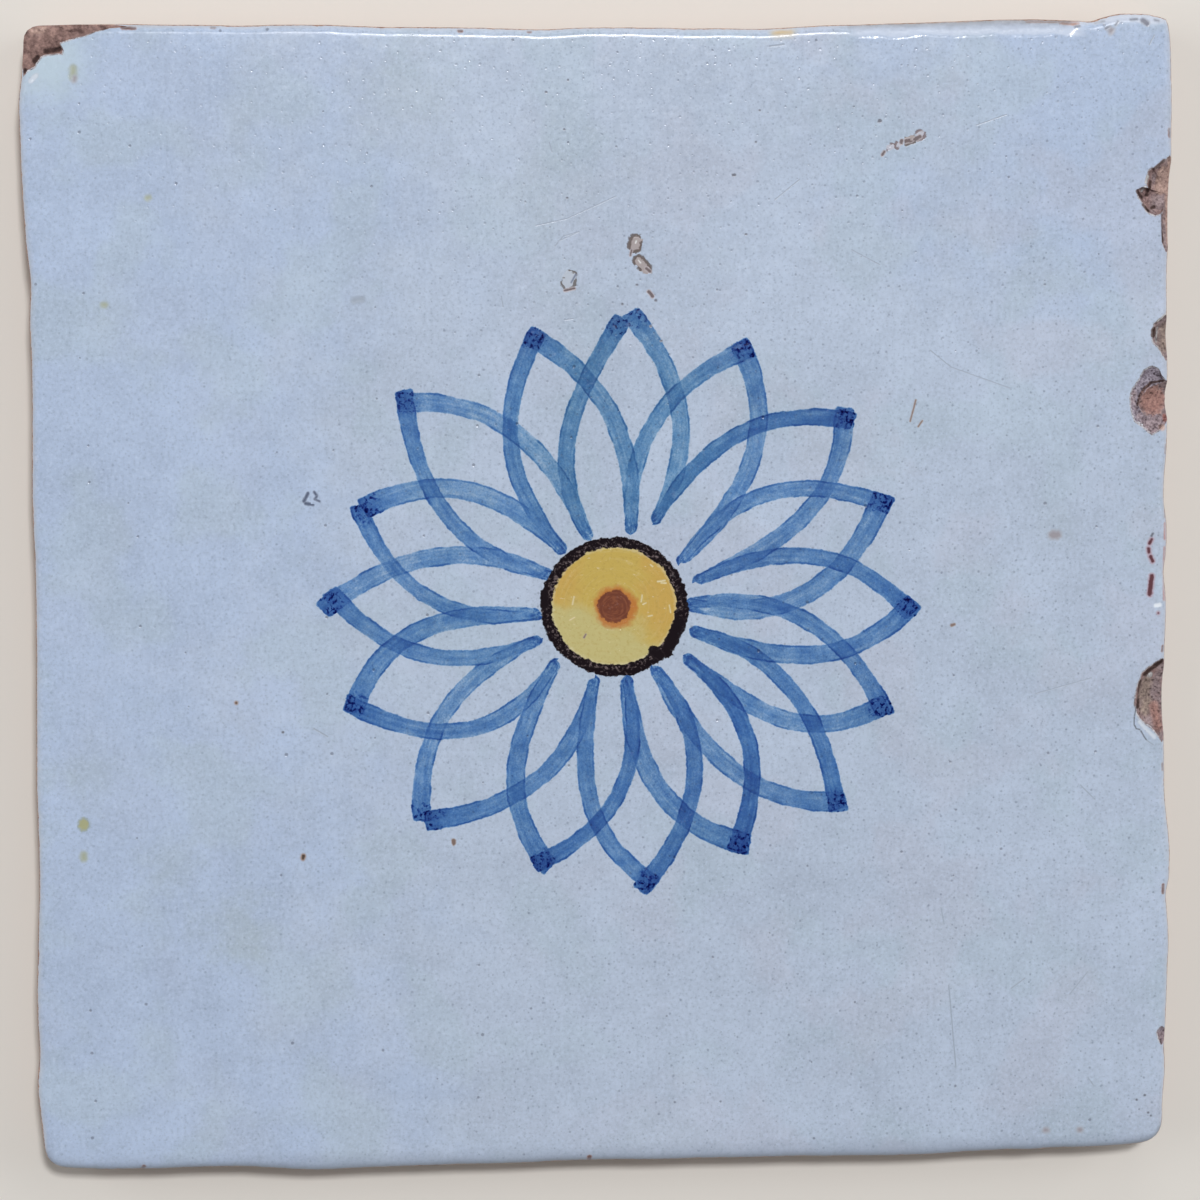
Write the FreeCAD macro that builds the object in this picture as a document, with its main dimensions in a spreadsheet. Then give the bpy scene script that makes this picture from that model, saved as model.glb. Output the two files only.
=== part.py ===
# Hand-painted wall tile: one square slab of fired clay with a tin glaze on its face.
# The tile lies on its bedding face. +Z points out of the glazed face, +X to the right of
# the painted ornament and +Y to its top. The origin is the middle of the bedding face.
import FreeCAD, Part
import math
import os
import Sketcher

NODE = "azulejo_tile"
FOLDER = "parts"

# Driving dimensions, in millimetres and degrees. Heights along the right side count from
# its middle, upwards.
DIMENSIONS = {
    # Slab: corner to corner on the glazed face, and its thickness
    "side_x": 200.0,
    "side_y": 199.5,
    "thickness": 13.0,
    # The sides stand upright for a band under the face, then lean in to the bedding face,
    # so that only the bands meet when tiles are laid
    "upright_band": 3.5,
    "undercut_angle": 3.5,
    # Round of the glaze over the edge of the face
    "arris_radius": 1.5,
    # How far the middle of a hand-cut side stands out (bow) or in (hollow); the right is straight
    "top_hollow": 1.3,
    "bottom_bow": 1.3,
    "left_hollow": 0.7,
    # Corner radii of the flat of the face; the arris adds its own radius outside them
    "corner_top_left": 0.3,
    "corner_top_right": 0.3,
    "corner_bottom_right": 1.7,
    "corner_bottom_left": 0.9,
    # Lump of glaze at the right end of the top side
    "lump_length": 15.0,
    "lump_rise": 1.1,
    "lump_blend": 8.0,
    # Flake off the top left corner: its reach along both sides, and the stepped break
    # between them, from the corner
    "flake_reach_x": 18.2,
    "flake_reach_y": 11.2,
    "flake_tail": 0.5,
    "flake_swell": 0.4,
    "flake_notch_x": 7.2,
    "flake_notch_y": 5.3,
    "flake_shelf": 3.1,
    "flake_riser": 1.8,
    # Drop of the bare clay at the corner itself, and its slope up to the break
    "flake_drop": 2.0,
    "flake_slope": 5.0,
    # Glaze coat that broke away with each chip, and the ledge that it leaves round the scoop
    "glaze_depth": 0.5,
    "glaze_ledge": 0.8,
    # Chips on the right side, from the top: upper and lower end, height of the point that
    # reaches furthest into the face, that reach, and the depth of the scoop at the side
    "first_chip_upper": 76.0,
    "first_chip_lower": 64.6,
    "first_chip_tip": 69.9,
    "first_chip_reach": 5.8,
    "first_chip_scoop": 2.2,
    "second_chip_upper": 49.2,
    "second_chip_lower": 39.8,
    "second_chip_tip": 44.6,
    "second_chip_reach": 2.9,
    "second_chip_scoop": 1.6,
    "third_chip_upper": 39.3,
    "third_chip_lower": 27.0,
    "third_chip_tip": 33.0,
    "third_chip_reach": 6.7,
    "third_chip_scoop": 2.5,
    "fourth_chip_upper": -12.7,
    "fourth_chip_lower": -27.7,
    "fourth_chip_tip": -20.8,
    "fourth_chip_reach": 5.5,
    "fourth_chip_scoop": 2.3,
    # Two shallow nicks on the right side, below the first chip and near the bottom corner
    "strip_nick_upper": 67.0,
    "strip_nick_lower": 57.6,
    "strip_nick_tip": 63.0,
    "strip_nick_reach": 1.3,
    "strip_nick_deep": 1.2,
    "low_nick_upper": -79.0,
    "low_nick_lower": -83.4,
    "low_nick_tip": -80.6,
    "low_nick_reach": 1.2,
    "low_nick_deep": 1.1,
    # How far every cut runs out past the slab
    "overrun": 6.0,
}

CHIPS = ("first_chip", "second_chip", "third_chip", "fourth_chip")
NICKS = ("strip_nick", "low_nick")

LEFT = "-Sizes.side_x / 2"
RIGHT = "Sizes.side_x / 2"
TOP = "Sizes.side_y / 2"
BOTTOM = "-Sizes.side_y / 2"
LUMP_START = "Sizes.side_x / 2 - Sizes.lump_length"

# Tolerance for finding an end point or an edge by its place
NEAR = 0.01


def make_sheet(document):
    """The driving dimensions, one named cell each."""
    sheet = document.addObject("Spreadsheet::Sheet", "Sizes")
    for row, (alias, size) in enumerate(DIMENSIONS.items(), start=1):
        sheet.set(f"A{row}", alias)
        sheet.set(f"B{row}", str(size))
        sheet.setAlias(f"B{row}", alias)
    document.recompute()
    return sheet


def number(expression):
    """What an expression of the sheet's names comes to now."""
    return float(sheet.evalExpression(expression))


def bedding_plane(body):
    """The body's own XY plane, which is the plane of the bedding face."""
    return next(plane for plane in body.Origin.OriginFeatures if plane.Role == "XY_Plane")


def flat_sketch(body, name, height):
    """A sketch parallel to the bedding face, at a height above it."""
    sketch = body.newObject("Sketcher::SketchObject", name)
    sketch.AttachmentSupport = [(bedding_plane(body), "")]
    sketch.MapMode = "FlatFace"
    sketch.setExpression(".AttachmentOffset.Base.z", height)
    return sketch


def flake_sketch(body, name):
    """A sketch on the bare clay of the corner flake, from the corner, rising towards the face."""
    sketch = flat_sketch(body, name, "Sizes.thickness - Sizes.flake_drop")
    across_the_corner = FreeCAD.Vector(1, 1, 0)
    sketch.AttachmentOffset = FreeCAD.Placement(
        sketch.AttachmentOffset.Base, FreeCAD.Rotation(across_the_corner, -1)
    )
    sketch.setExpression(".AttachmentOffset.Base.x", LEFT)
    sketch.setExpression(".AttachmentOffset.Base.y", TOP)
    sketch.setExpression(".AttachmentOffset.Rotation.Angle", "-Sizes.flake_slope")
    return sketch


def spot(place):
    """The point of a sketch that a pair of expressions gives now."""
    return FreeCAD.Vector(number(place[0]), number(place[1]), 0)


def pin(sketch, geometry, end, place, name):
    """Hold a point of a sketch at the place that a pair of expressions gives."""
    for kind, axis, expression in zip(("DistanceX", "DistanceY"), "xy", place):
        label = f"{name}_{axis}"
        constraint = Sketcher.Constraint(kind, -1, 1, geometry, end, number(expression))
        sketch.renameConstraint(sketch.addConstraint(constraint), label)
        sketch.setExpression(f".Constraints.{label}", expression)


def pass_through(sketch, curves, place, name):
    """Make curves of a sketch pass through a pinned point."""
    point = sketch.addGeometry(Part.Point(spot(place)), True)
    for curve in curves:
        sketch.addConstraint(Sketcher.Constraint("PointOnObject", point, 1, curve))
    pin(sketch, point, 1, place, name)


def add_curve(sketch, curve, start):
    """Add a curve, and say which of its ends, 1 or 2, is its start and which its end."""
    added = sketch.addGeometry(curve)
    forwards = sketch.getPoint(added, 1).distanceToPoint(start) < NEAR
    return (added, 1, 2) if forwards else (added, 2, 1)


def side_curves(corners, rounds):
    """From each corner to the next, an arc through the point given for it, or else a line."""
    curves = []
    for corner, following, through in zip(corners, corners[1:] + corners[:1], rounds):
        if through is None:
            curves.append(Part.LineSegment(spot(corner), spot(following)))
        else:
            curves.append(Part.Arc(spot(corner), spot(through), spot(following)))
    return curves


def draw_outline(sketch, corners, rounds):
    """A closed outline with sharp corners."""
    sides = []
    for corner, curve in zip(corners, side_curves(corners, rounds)):
        sides.append(add_curve(sketch, curve, spot(corner)))
    for index, (corner, through) in enumerate(zip(corners, rounds)):
        before, _, before_end = sides[index - 1]
        side, start, _ = sides[index]
        sketch.addConstraint(Sketcher.Constraint("Coincident", before, before_end, side, start))
        pin(sketch, side, start, corner, f"corner{index}")
        if through is not None:
            pass_through(sketch, [side], through, f"round{index}")


def corner_arc(corner, before, after, radius):
    """Where an arc of a radius starts, swings and ends as it rounds a corner of two curves."""
    def back(curve, far_end):
        direction = curve.tangent(curve.parameter(corner))[0]
        return -direction if direction.dot(far_end - corner) < 0 else direction

    first, second = back(*before), back(*after)
    half_angle = first.getAngle(second) / 2
    to_centre = (first + second).normalize()
    start = corner + first * (radius / math.tan(half_angle))
    middle = corner + to_centre * (radius / math.sin(half_angle) - radius)
    end = corner + second * (radius / math.tan(half_angle))
    return start, middle, end


def draw_rounded_outline(sketch, corners, rounds, radii):
    """A closed outline as in draw_outline, with a tangent arc of its own radius at each corner."""
    curves, sides = side_curves(corners, rounds), []
    for corner, curve in zip(corners, curves):
        sides.append(add_curve(sketch, curve, spot(corner)))
    for index, (corner, through) in enumerate(zip(corners, rounds)):
        before, _, before_end = sides[index - 1]
        side, start, _ = sides[index]
        pass_through(sketch, [before, side], corner, f"corner{index}")
        if through is not None:
            pass_through(sketch, [side], through, f"round{index}")
        previous, following = spot(corners[index - 1]), spot(corners[(index + 1) % len(corners)])
        swing = corner_arc(
            spot(corner), (curves[index - 1], previous), (curves[index], following),
            number(radii[index]),
        )
        turn, turn_start, turn_end = add_curve(sketch, Part.Arc(*swing), swing[0])
        sketch.addConstraint(
            Sketcher.Constraint("Tangent", before, before_end, turn, turn_start)
        )
        sketch.addConstraint(Sketcher.Constraint("Tangent", turn, turn_end, side, start))
        label = f"radius{index}"
        constraint = Sketcher.Constraint("Radius", turn, number(radii[index]))
        sketch.renameConstraint(sketch.addConstraint(constraint), label)
        sketch.setExpression(f".Constraints.{label}", radii[index])


def add_slab(body):
    """The slab: an upright band under the face, and sides that lean in from there down."""
    sketch = flat_sketch(body, "SlabOutline", "Sizes.thickness - Sizes.upright_band")
    corners = [(LEFT, TOP), (LUMP_START, TOP), (RIGHT, TOP), (RIGHT, BOTTOM), (LEFT, BOTTOM)]
    rounds = [
        ("-Sizes.lump_length / 2", f"{TOP} - Sizes.top_hollow"),
        (f"{RIGHT} - Sizes.lump_length / 2", f"{TOP} + Sizes.lump_rise"),
        None,
        ("0", f"{BOTTOM} - Sizes.bottom_bow"),
        (f"{LEFT} + Sizes.left_hollow", "0"),
    ]
    radii = [
        "Sizes.corner_top_left + Sizes.arris_radius",
        "Sizes.lump_blend",
        "Sizes.corner_top_right + Sizes.arris_radius",
        "Sizes.corner_bottom_right + Sizes.arris_radius",
        "Sizes.corner_bottom_left + Sizes.arris_radius",
    ]
    draw_rounded_outline(sketch, corners, rounds, radii)
    undercut = body.newObject("PartDesign::Pad", "Undercut")
    undercut.Profile = sketch
    undercut.Reversed = True
    undercut.setExpression("Length", "Sizes.thickness - Sizes.upright_band")
    undercut.setExpression("TaperAngle", "-Sizes.undercut_angle")
    band = body.newObject("PartDesign::Pad", "Band")
    band.Profile = sketch
    band.setExpression("Length", "Sizes.upright_band")


def round_arris(body):
    """Round the whole edge of the face."""
    document.recompute()
    slab = body.Tip
    face_height = number("Sizes.thickness")
    names = [f"Edge{count}" for count, edge in enumerate(slab.Shape.Edges, 1)
             if edge.BoundBox.ZMin > face_height - NEAR]
    arris = body.newObject("PartDesign::Fillet", "Arris")
    arris.Base = (slab, names)
    arris.setExpression("Radius", "Sizes.arris_radius")


def cut_flake(body):
    """The flake off the top left corner: a stepped break down to sloping bare clay."""
    sketch = flake_sketch(body, "FlakeOutline")
    riser_foot = "-Sizes.flake_notch_y"
    riser_head = "-(Sizes.flake_notch_y - Sizes.flake_riser)"
    shelf_start = "Sizes.flake_notch_x - Sizes.flake_shelf"
    corners = [
        ("-Sizes.overrun", "-Sizes.flake_reach_y"),
        ("0", "-Sizes.flake_reach_y"),
        (shelf_start, riser_foot),
        ("Sizes.flake_notch_x", riser_foot),
        ("Sizes.flake_notch_x", riser_head),
        ("Sizes.flake_reach_x", "-Sizes.flake_tail"),
        ("Sizes.flake_reach_x", "Sizes.overrun"),
        ("-Sizes.overrun", "Sizes.overrun"),
    ]
    # The break swells towards the corner between the left side and the shelf
    swollen = (
        f"({shelf_start}) / 2 - Sizes.flake_swell",
        "-(Sizes.flake_reach_y + Sizes.flake_notch_y) / 2 + Sizes.flake_swell",
    )
    rounds = [None, swollen, None, None, None, None, None, None]
    draw_outline(sketch, corners, rounds)
    flake = body.newObject("PartDesign::Pocket", "Flake")
    flake.Profile = sketch
    flake.Reversed = True
    flake.setExpression("Length", "Sizes.overrun")


def cut_edge_bite(body, chip, depth):
    """Take a half-oval bite out of the face at the right side, straight down to a depth."""
    upper, lower, tip = f"Sizes.{chip}_upper", f"Sizes.{chip}_lower", f"Sizes.{chip}_tip"
    reach = f"Sizes.{chip}_reach"
    outside = f"{RIGHT} + Sizes.overrun"
    # Both arcs pass through the point that lies at 45 degrees on an oval
    inward = f"{RIGHT} - {reach} * cos(45 deg)"
    corners = [
        (outside, upper), (RIGHT, upper), (f"{RIGHT} - {reach}", tip), (RIGHT, lower), (outside, lower),
    ]
    rounds = [
        None,
        (inward, f"{tip} + ({upper} - {tip}) * cos(45 deg)"),
        (inward, f"{tip} - ({tip} - {lower}) * cos(45 deg)"),
        None,
        None,
    ]
    sketch = flat_sketch(body, f"{chip}_outline", "Sizes.thickness")
    draw_outline(sketch, corners, rounds)
    bite = body.newObject("PartDesign::Pocket", f"{chip}_break")
    bite.Profile = sketch
    bite.setExpression("Length", depth)


def cut_scoop(body, chip):
    """Hollow the clay of a chip to a shell-shaped scoop that runs out at the side."""
    upper, lower = f"Sizes.{chip}_upper", f"Sizes.{chip}_lower"
    depth = f"Sizes.{chip}_scoop"
    reach = f"(Sizes.{chip}_reach - Sizes.glaze_ledge)"
    half_length = f"(({upper} - {lower}) / 2 - Sizes.glaze_ledge)"
    # The rim is the arc of a circle through its two ends on the side and its deepest reach
    rim_radius = f"({half_length} ^ 2 / {reach} + {reach}) / 2"
    rim_centre = f"({half_length} ^ 2 / {reach} - {reach}) / 2"
    # The ball whose cap has that rim and the scoop's depth
    ball_radius = f"(({rim_radius}) ^ 2 / {depth} + {depth}) / 2"
    scoop = body.newObject("PartDesign::SubtractiveSphere", f"{chip}_scoop")
    scoop.AttachmentSupport = [(bedding_plane(body), "")]
    scoop.MapMode = "FlatFace"
    scoop.setExpression(".AttachmentOffset.Base.x", f"{RIGHT} + {rim_centre}")
    scoop.setExpression(".AttachmentOffset.Base.y", f"({upper} + {lower}) / 2")
    scoop.setExpression(
        ".AttachmentOffset.Base.z", f"Sizes.thickness - Sizes.glaze_depth - {depth} + {ball_radius}"
    )
    scoop.setExpression("Radius", ball_radius)


def make_tile(document):
    """The tile: its slab, rounded, then broken as use has left it."""
    body = document.addObject("PartDesign::Body", "Tile")
    body.Label = NODE
    add_slab(body)
    round_arris(body)
    cut_flake(body)
    for chip in CHIPS:
        cut_edge_bite(body, chip, "Sizes.glaze_depth")
        cut_scoop(body, chip)
    for nick in NICKS:
        cut_edge_bite(body, nick, f"Sizes.{nick}_deep")
    document.recompute()
    return body


def check(document, bodies):
    """Stop where any feature failed or a finished shape isn't sound."""
    for item in document.Objects:
        if "Invalid" in item.State or "Error" in item.State:
            raise RuntimeError(f"{item.Label} failed: {item.State}")
    for body in bodies:
        if body.Shape.isNull() or not body.Shape.isValid():
            raise RuntimeError(f"{body.Label} has no sound shape")


document = FreeCAD.newDocument("PaintedTile")
sheet = make_sheet(document)
tile = make_tile(document)
check(document, [tile])
os.makedirs(FOLDER, exist_ok=True)
tile.Shape.exportStep(os.path.join(FOLDER, f"{NODE}.step"))
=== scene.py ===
"""Dresses the hand-painted wall tile: its glaze, rosette and chipped edges, on a floor in soft light."""

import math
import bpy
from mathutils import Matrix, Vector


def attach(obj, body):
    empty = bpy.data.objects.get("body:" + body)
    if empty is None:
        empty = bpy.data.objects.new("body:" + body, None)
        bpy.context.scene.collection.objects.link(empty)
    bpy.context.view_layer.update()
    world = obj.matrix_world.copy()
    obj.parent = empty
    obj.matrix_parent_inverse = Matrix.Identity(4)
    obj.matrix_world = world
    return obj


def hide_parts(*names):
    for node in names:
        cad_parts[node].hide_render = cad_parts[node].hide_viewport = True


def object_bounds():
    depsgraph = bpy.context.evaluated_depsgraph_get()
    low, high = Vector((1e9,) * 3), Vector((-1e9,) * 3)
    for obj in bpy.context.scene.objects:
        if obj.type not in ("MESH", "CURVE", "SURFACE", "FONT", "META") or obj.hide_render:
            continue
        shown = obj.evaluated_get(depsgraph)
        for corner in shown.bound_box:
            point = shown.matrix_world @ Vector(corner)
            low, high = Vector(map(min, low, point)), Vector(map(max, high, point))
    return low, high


bl_info = {
    "name": "Hand-painted wall tile",
    "version": (1, 0, 0),
    "blender": (4, 5, 0),
    "location": "View3D > Sidebar > Wall tile",
    "description": "Builds a glazed wall tile with a painted rosette and worn, chipped edges",
    "category": "Add Mesh",
}

import bmesh
import bpy
import numpy as np
from mathutils import Matrix, Vector, geometry, kdtree, noise

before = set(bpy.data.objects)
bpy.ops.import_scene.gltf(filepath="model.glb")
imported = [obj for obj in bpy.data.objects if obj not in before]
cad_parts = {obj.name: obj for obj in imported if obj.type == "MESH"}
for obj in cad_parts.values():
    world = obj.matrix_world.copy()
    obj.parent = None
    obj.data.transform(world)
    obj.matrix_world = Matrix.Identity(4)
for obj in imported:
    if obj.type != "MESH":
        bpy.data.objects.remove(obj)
CAD_LOW, CAD_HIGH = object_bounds()
NODE = "azulejo_tile"
PIECE = "painted_tile"
MM = 0.001
# Faces of the slab that meet at less than this angle are shaded as one
SMOOTH_ANGLE = math.radians(38)

# The slab's four sides, clockwise from the top. Each pair is a place along the side and how far out the side
# stands there, in millimetres from the tile's middle.
SIDES = (
    ((-100, 99.6), (-94, 99.85), (-84, 99.9), (-73, 99.8), (-62, 99.6), (-52, 99.75), (-38, 99.3),
     (-22, 99.1), (-12, 98.8), (-1, 99.05), (20, 98.8), (29, 98.75), (36, 99.12), (45, 99.42),
     (59, 99.8), (70, 100.15), (79, 100.15), (84, 99.9), (86.4, 99.8), (88.2, 100.4), (90.5, 101.0),
     (93.5, 101.15), (96.3, 101.0), (98.6, 100.5), (100, 100.3)),
    ((-100, 100.3), (-93, 100.45), (-87, 100.82), (-82, 100.6), (-79, 100.8), (-75, 101.0), (-69, 101.1),
     (-63, 101.3), (-59, 101.0), (-55.5, 100.75), (-52.5, 101.3), (-50, 101.4), (-46.5, 101.3),
     (-43, 101.0), (-39.5, 100.55), (-36.5, 100.35), (-30, 100.2), (-19, 100.0), (-2, 100.3),
     (3.4, 99.95), (6, 100.25), (11, 100.35), (15.5, 99.85), (20, 99.85), (24, 100.2), (31, 100.35),
     (45, 100.15), (57, 100.1), (66, 100.45), (90, 100.6), (97, 100.3), (100, 99.8)),
    ((-100, 100.3), (-96, 100.85), (-89, 101.3), (-80, 101.4), (-72, 101.3), (-66, 101.35), (-60, 101.8),
     (-52.5, 102.35), (-45, 102.2), (-30, 102.0), (-14, 101.95), (-5, 101.75), (9, 101.95), (18, 101.9),
     (25, 102.0), (35, 102.0), (48, 102.25), (57, 102.25), (66, 101.85), (73, 101.7), (76.6, 101.75),
     (80, 101.6), (88, 101.55), (95, 101.2), (100, 100.6)),
    ((-100, 100.0), (-95.6, 100.4), (-91, 100.85), (-85, 101.25), (-80.5, 100.75), (-75.8, 100.95),
     (-60, 100.6), (-52, 100.22), (-31, 100.25), (-13, 99.88), (6, 99.7), (18, 99.9), (42, 99.55),
     (48, 99.72), (57, 99.47), (61, 99.95), (66, 100.25), (73, 100.5), (82, 100.72), (87, 100.72),
     (90, 100.35), (95, 99.8), (100, 99.7)),
)
# Radius of each corner's round in millimetres, clockwise from the top left, and how many radii along a side
# the round reaches
CORNER_ROUNDS = (1.9, 0.8, 3.0, 2.4)
ROUND_REACH = 1.4

# Unevenness of the sides, the face, a broken line and a break's floor, in layers that each have a height, a
# wavelength and a seed. All are in millimetres but the floor's heights, which are shares of how rough it is.
SIDE_WAVES = ((0.07, 6, 3), (0.05, 2.2, 5))
FACE_WAVES = ((0.08, 34, 1), (0.03, 9, 2))
JAGS = ((0.13, 0.9, 11), (0.08, 0.35, 12))
FLOOR_GRAIN = ((1.0, 1.1, 13), (0.6, 0.45, 14), (0.35, 0.2, 15))

# The painted petals, clockwise from the top, in millimetres from the rosette's middle: where the stroke on
# the petal's left starts and where the one on its right does, the place near the ring where its neighbours'
# strokes end, how far each of its strokes bows out near the tip and near the ring, and how loaded and how
# wide the brush was for each, against an ordinary stroke.
ROSETTE_MIDDLE = (1.85, -1.96)
PETALS = (
    ((1.1, 49.9), (3.2, 51.0), (2.7, 13.2), (-5.6, -10.5), (7.8, 9.2), (0.95, 0.98), (0.78, 1.03)),
    ((23.5, 45.0), (22.2, 45.6), (7.0, 15.1), (-8.8, -9.4), (11.6, 7.5), (0.84, 0.95), (0.82, 1.06)),
    ((41.5, 32.2), (40.6, 33.7), (11.7, 7.8), (-10.0, -8.0), (11.5, 6.1), (1.18, 0.92), (0.82, 1.02)),
    ((48.2, 17.3), (47.2, 18.4), (14.4, 4.2), (-8.9, -10.9), (11.1, 11.6), (0.84, 0.92), (0.75, 1.17)),
    ((52.1, -1.7), (52.6, -0.5), (12.7, 0.2), (-10.6, -8.6), (11.0, 6.9), (0.96, 0.95), (0.88, 1.07)),
    ((47.6, -19.5), (47.4, -18.4), (13.6, -4.6), (-9.6, -10.4), (11.3, 5.7), (0.88, 0.96), (0.76, 1.05)),
    ((39.1, -36.2), (40.1, -35.5), (12.3, -9.4), (-8.2, -10.1), (11.1, 6.5), (1.07, 0.94), (0.76, 1.06)),
    ((21.2, -43.4), (22.8, -42.8), (6.7, -11.1), (-8.7, -9.6), (10.7, 7.2), (1.38, 0.98), (0.87, 1.17)),
    ((4.4, -50.3), (6.1, -49.5), (1.7, -12.8), (-9.8, -12.0), (10.7, 6.4), (1.12, 0.97), (0.88, 0.98)),
    ((-14.3, -45.6), (-12.5, -45.9), (-4.0, -13.2), (-10.6, -10.0), (10.2, 6.3), (1.16, 0.90), (0.90, 1.07)),
    ((-33.3, -37.7), (-34.6, -36.9), (-10.7, -9.9), (-8.2, -10.1), (9.5, 8.4), (0.95, 1.02), (0.74, 0.98)),
    ((-47.1, -16.7), (-46.3, -17.5), (-13.8, -5.8), (-9.8, -12.9), (12.0, 6.2), (0.88, 0.96), (0.86, 1.10)),
    ((-49.9, 2.8), (-51.0, 0.4), (-13.4, -1.2), (-9.1, -9.2), (7.8, 8.5), (0.84, 0.94), (0.66, 1.05)),
    ((-44.9, 17.7), (-43.7, 18.0), (-11.6, 5.5), (-9.7, -10.0), (9.5, 7.9), (0.86, 0.87), (0.70, 1.12)),
    ((-36.8, 37.6), (-37.3, 36.2), (-9.3, 10.0), (-8.7, -11.0), (11.2, 8.5), (0.86, 0.93), (0.64, 1.02)),
    ((-13.6, 47.8), (-14.6, 47.5), (-4.7, 12.1), (-9.0, -9.1), (8.8, 7.8), (1.02, 0.95), (0.84, 1.06)),
)

# How many points each stroke's middle line has, how far from the rosette's middle there is paint, and what a
# place farther out holds: well before a stroke's start, well to its side and well before its end
STROKE_POINTS = 60
PAINTED_RADIUS = 62
NO_STROKE = (-50.0, 50.0, 50.0)

# The broken places, in millimetres from the tile's middle: the line along which the glaze broke, a place that
# sees all of that line, how deep the break is at the side, how the floor curves down, how rough it is and its
# finish. A break may also say how thick its lip is, or where it goes round beyond the slab.
BREAKS = {
    "corner_flake": {
        "line": ((-100.9, 87.2), (-100.3, 88.9), (-99.5, 90.8), (-98.9, 91.7), (-97.9, 92.2), (-97.3, 93.1),
                 (-96.5, 94.2), (-95.4, 94.5), (-94.0, 94.6), (-92.9, 94.7), (-92.7, 95.3), (-93.2, 96.5),
                 (-91.0, 97.3), (-88.7, 97.8), (-87.1, 98.5), (-84.3, 99.1), (-81.7, 99.3), (-80.9, 99.8)),
        "middle": (-104.0, 104.0), "beyond": ((-80.0, 104.5), (-108.0, 108.0), (-104.5, 87.5)),
        "depth": 3.4, "curve": 0.55, "grain": 0.20, "floor": "weathered_clay",
    },
    "first_break": {
        "line": ((100.4, 77.0), (99.4, 75.8), (98.4, 75.1), (97.4, 74.1), (96.9, 74.4), (96.3, 73.9),
                 (95.9, 72.7), (95.8, 71.6), (96.3, 70.7), (95.2, 70.9), (94.1, 70.3), (94.4, 69.1),
                 (94.9, 68.3), (95.4, 67.6), (95.8, 66.6), (96.5, 66.0), (97.5, 65.6), (98.4, 65.8),
                 (98.9, 66.3), (98.85, 64.8), (98.75, 62.4), (98.95, 60.6), (99.6, 59.2), (100.4, 57.6)),
        "middle": (100.6, 69.5), "depth": 3.2, "curve": 1.1, "grain": 0.17, "floor": "fresh_clay",
    },
    "second_break": {
        "line": ((100.9, 50.3), (99.9, 49.2), (99.1, 48.3), (98.1, 47.4), (97.4, 46.7), (97.1, 45.5),
                 (97.1, 44.1), (97.3, 43.5), (97.7, 43.0), (98.4, 42.2), (99.1, 40.9), (99.8, 39.8),
                 (100.5, 38.9)),
        "middle": (100.9, 45.0), "depth": 2.2, "curve": 1.4, "grain": 0.09, "floor": "fresh_clay",
    },
    "third_break": {
        "line": ((99.9, 37.0), (99.0, 37.8), (98.5, 39.0), (97.24, 39.5), (95.7, 38.8), (94.9, 37.2),
                 (93.7, 35.5), (93.2, 34.0), (93.4, 31.6), (94.1, 29.6), (95.6, 28.4), (97.3, 27.0),
                 (98.7, 27.8), (99.75, 28.7)),
        "middle": (100.6, 33.2), "depth": 1.7, "curve": 1.2, "grain": 0.18, "floor": "old_crust",
    },
    "third_break_core": {
        "line": ((99.9, 37.0), (98.3, 36.6), (96.9, 35.8), (95.75, 34.6), (95.1, 33.6), (94.7, 32.4),
                 (95.3, 31.1), (96.1, 30.2), (97.5, 30.5), (99.7, 29.6)),
        "middle": (100.6, 33.4), "depth": 3.4, "curve": 1.2, "grain": 0.20, "floor": "fresh_clay",
        "lip": 1.25,
    },
    "fourth_break": {
        "line": ((99.97, -12.2), (98.4, -13.3), (97.0, -14.1), (95.8, -15.1), (95.0, -17.0),
                 (94.5, -19.2), (94.4, -21.0), (94.7, -22.6), (95.8, -24.2), (97.6, -25.5),
                 (98.8, -26.9), (99.5, -28.2)),
        "middle": (100.5, -20.4), "depth": 2.9, "curve": 1.1, "grain": 0.16, "floor": "fresh_clay",
    },
    "strip_nick": {
        "line": ((99.6, -79.2), (98.85, -80.5), (99.1, -82.0), (99.8, -83.2)),
        "middle": (100.4, -81.1), "depth": 1.2, "curve": 1.0, "grain": 0.08, "floor": "old_crust",
    },
}


def shade(red, green, blue):
    """A colour as a screen shows it, 0 to 255, in the linear values that Blender's colours hold."""
    parts = (c / 255 for c in (red, green, blue))
    return tuple(((p + 0.055) / 1.055) ** 2.4 if p > 0.04045 else p / 12.92 for p in parts)


def full(colour):
    """A seen colour with full cover, as a socket or a property takes it."""
    return (*shade(*colour), 1.0)


def size_property(name, text, value):
    """A length that a user may change, in metres."""
    return bpy.props.FloatProperty(
        name=name, description=text, default=value, subtype="DISTANCE", unit="LENGTH"
    )


def colour_property(name, text, colour):
    """A colour that a user may change."""
    return bpy.props.FloatVectorProperty(
        name=name, description=text, default=full(colour), subtype="COLOR", size=4, min=0, max=1
    )


class TileSlabSizes(bpy.types.PropertyGroup):
    """Sizes of the fired slab"""

    thickness: size_property("Thickness", "Height of the face above the bedding side", CAD_HIGH.z - CAD_LOW.z)
    arris: size_property("Arris", "Radius over which the glaze rolls down at the edge of the face", 1.5 * MM)
    band: size_property("Upright band", "Height of the sides' upright part, from the face down", 3.5 * MM)
    glaze_depth: size_property("Glaze depth", "Thickness of the glaze where it is broken", 0.5 * MM)
    bevel: size_property("Bevel", "How far the broken glaze slopes in under its broken line", 0.35 * MM)
    undercut: bpy.props.FloatProperty(
        name="Undercut", description="Lean of the sides below the upright band", default=math.radians(3.5),
        subtype="ANGLE", unit="ROTATION",
    )
    face_cells: bpy.props.IntProperty(
        name="Face cells", description="Mesh cells along each side of the face", default=190, min=40, max=220
    )


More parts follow.
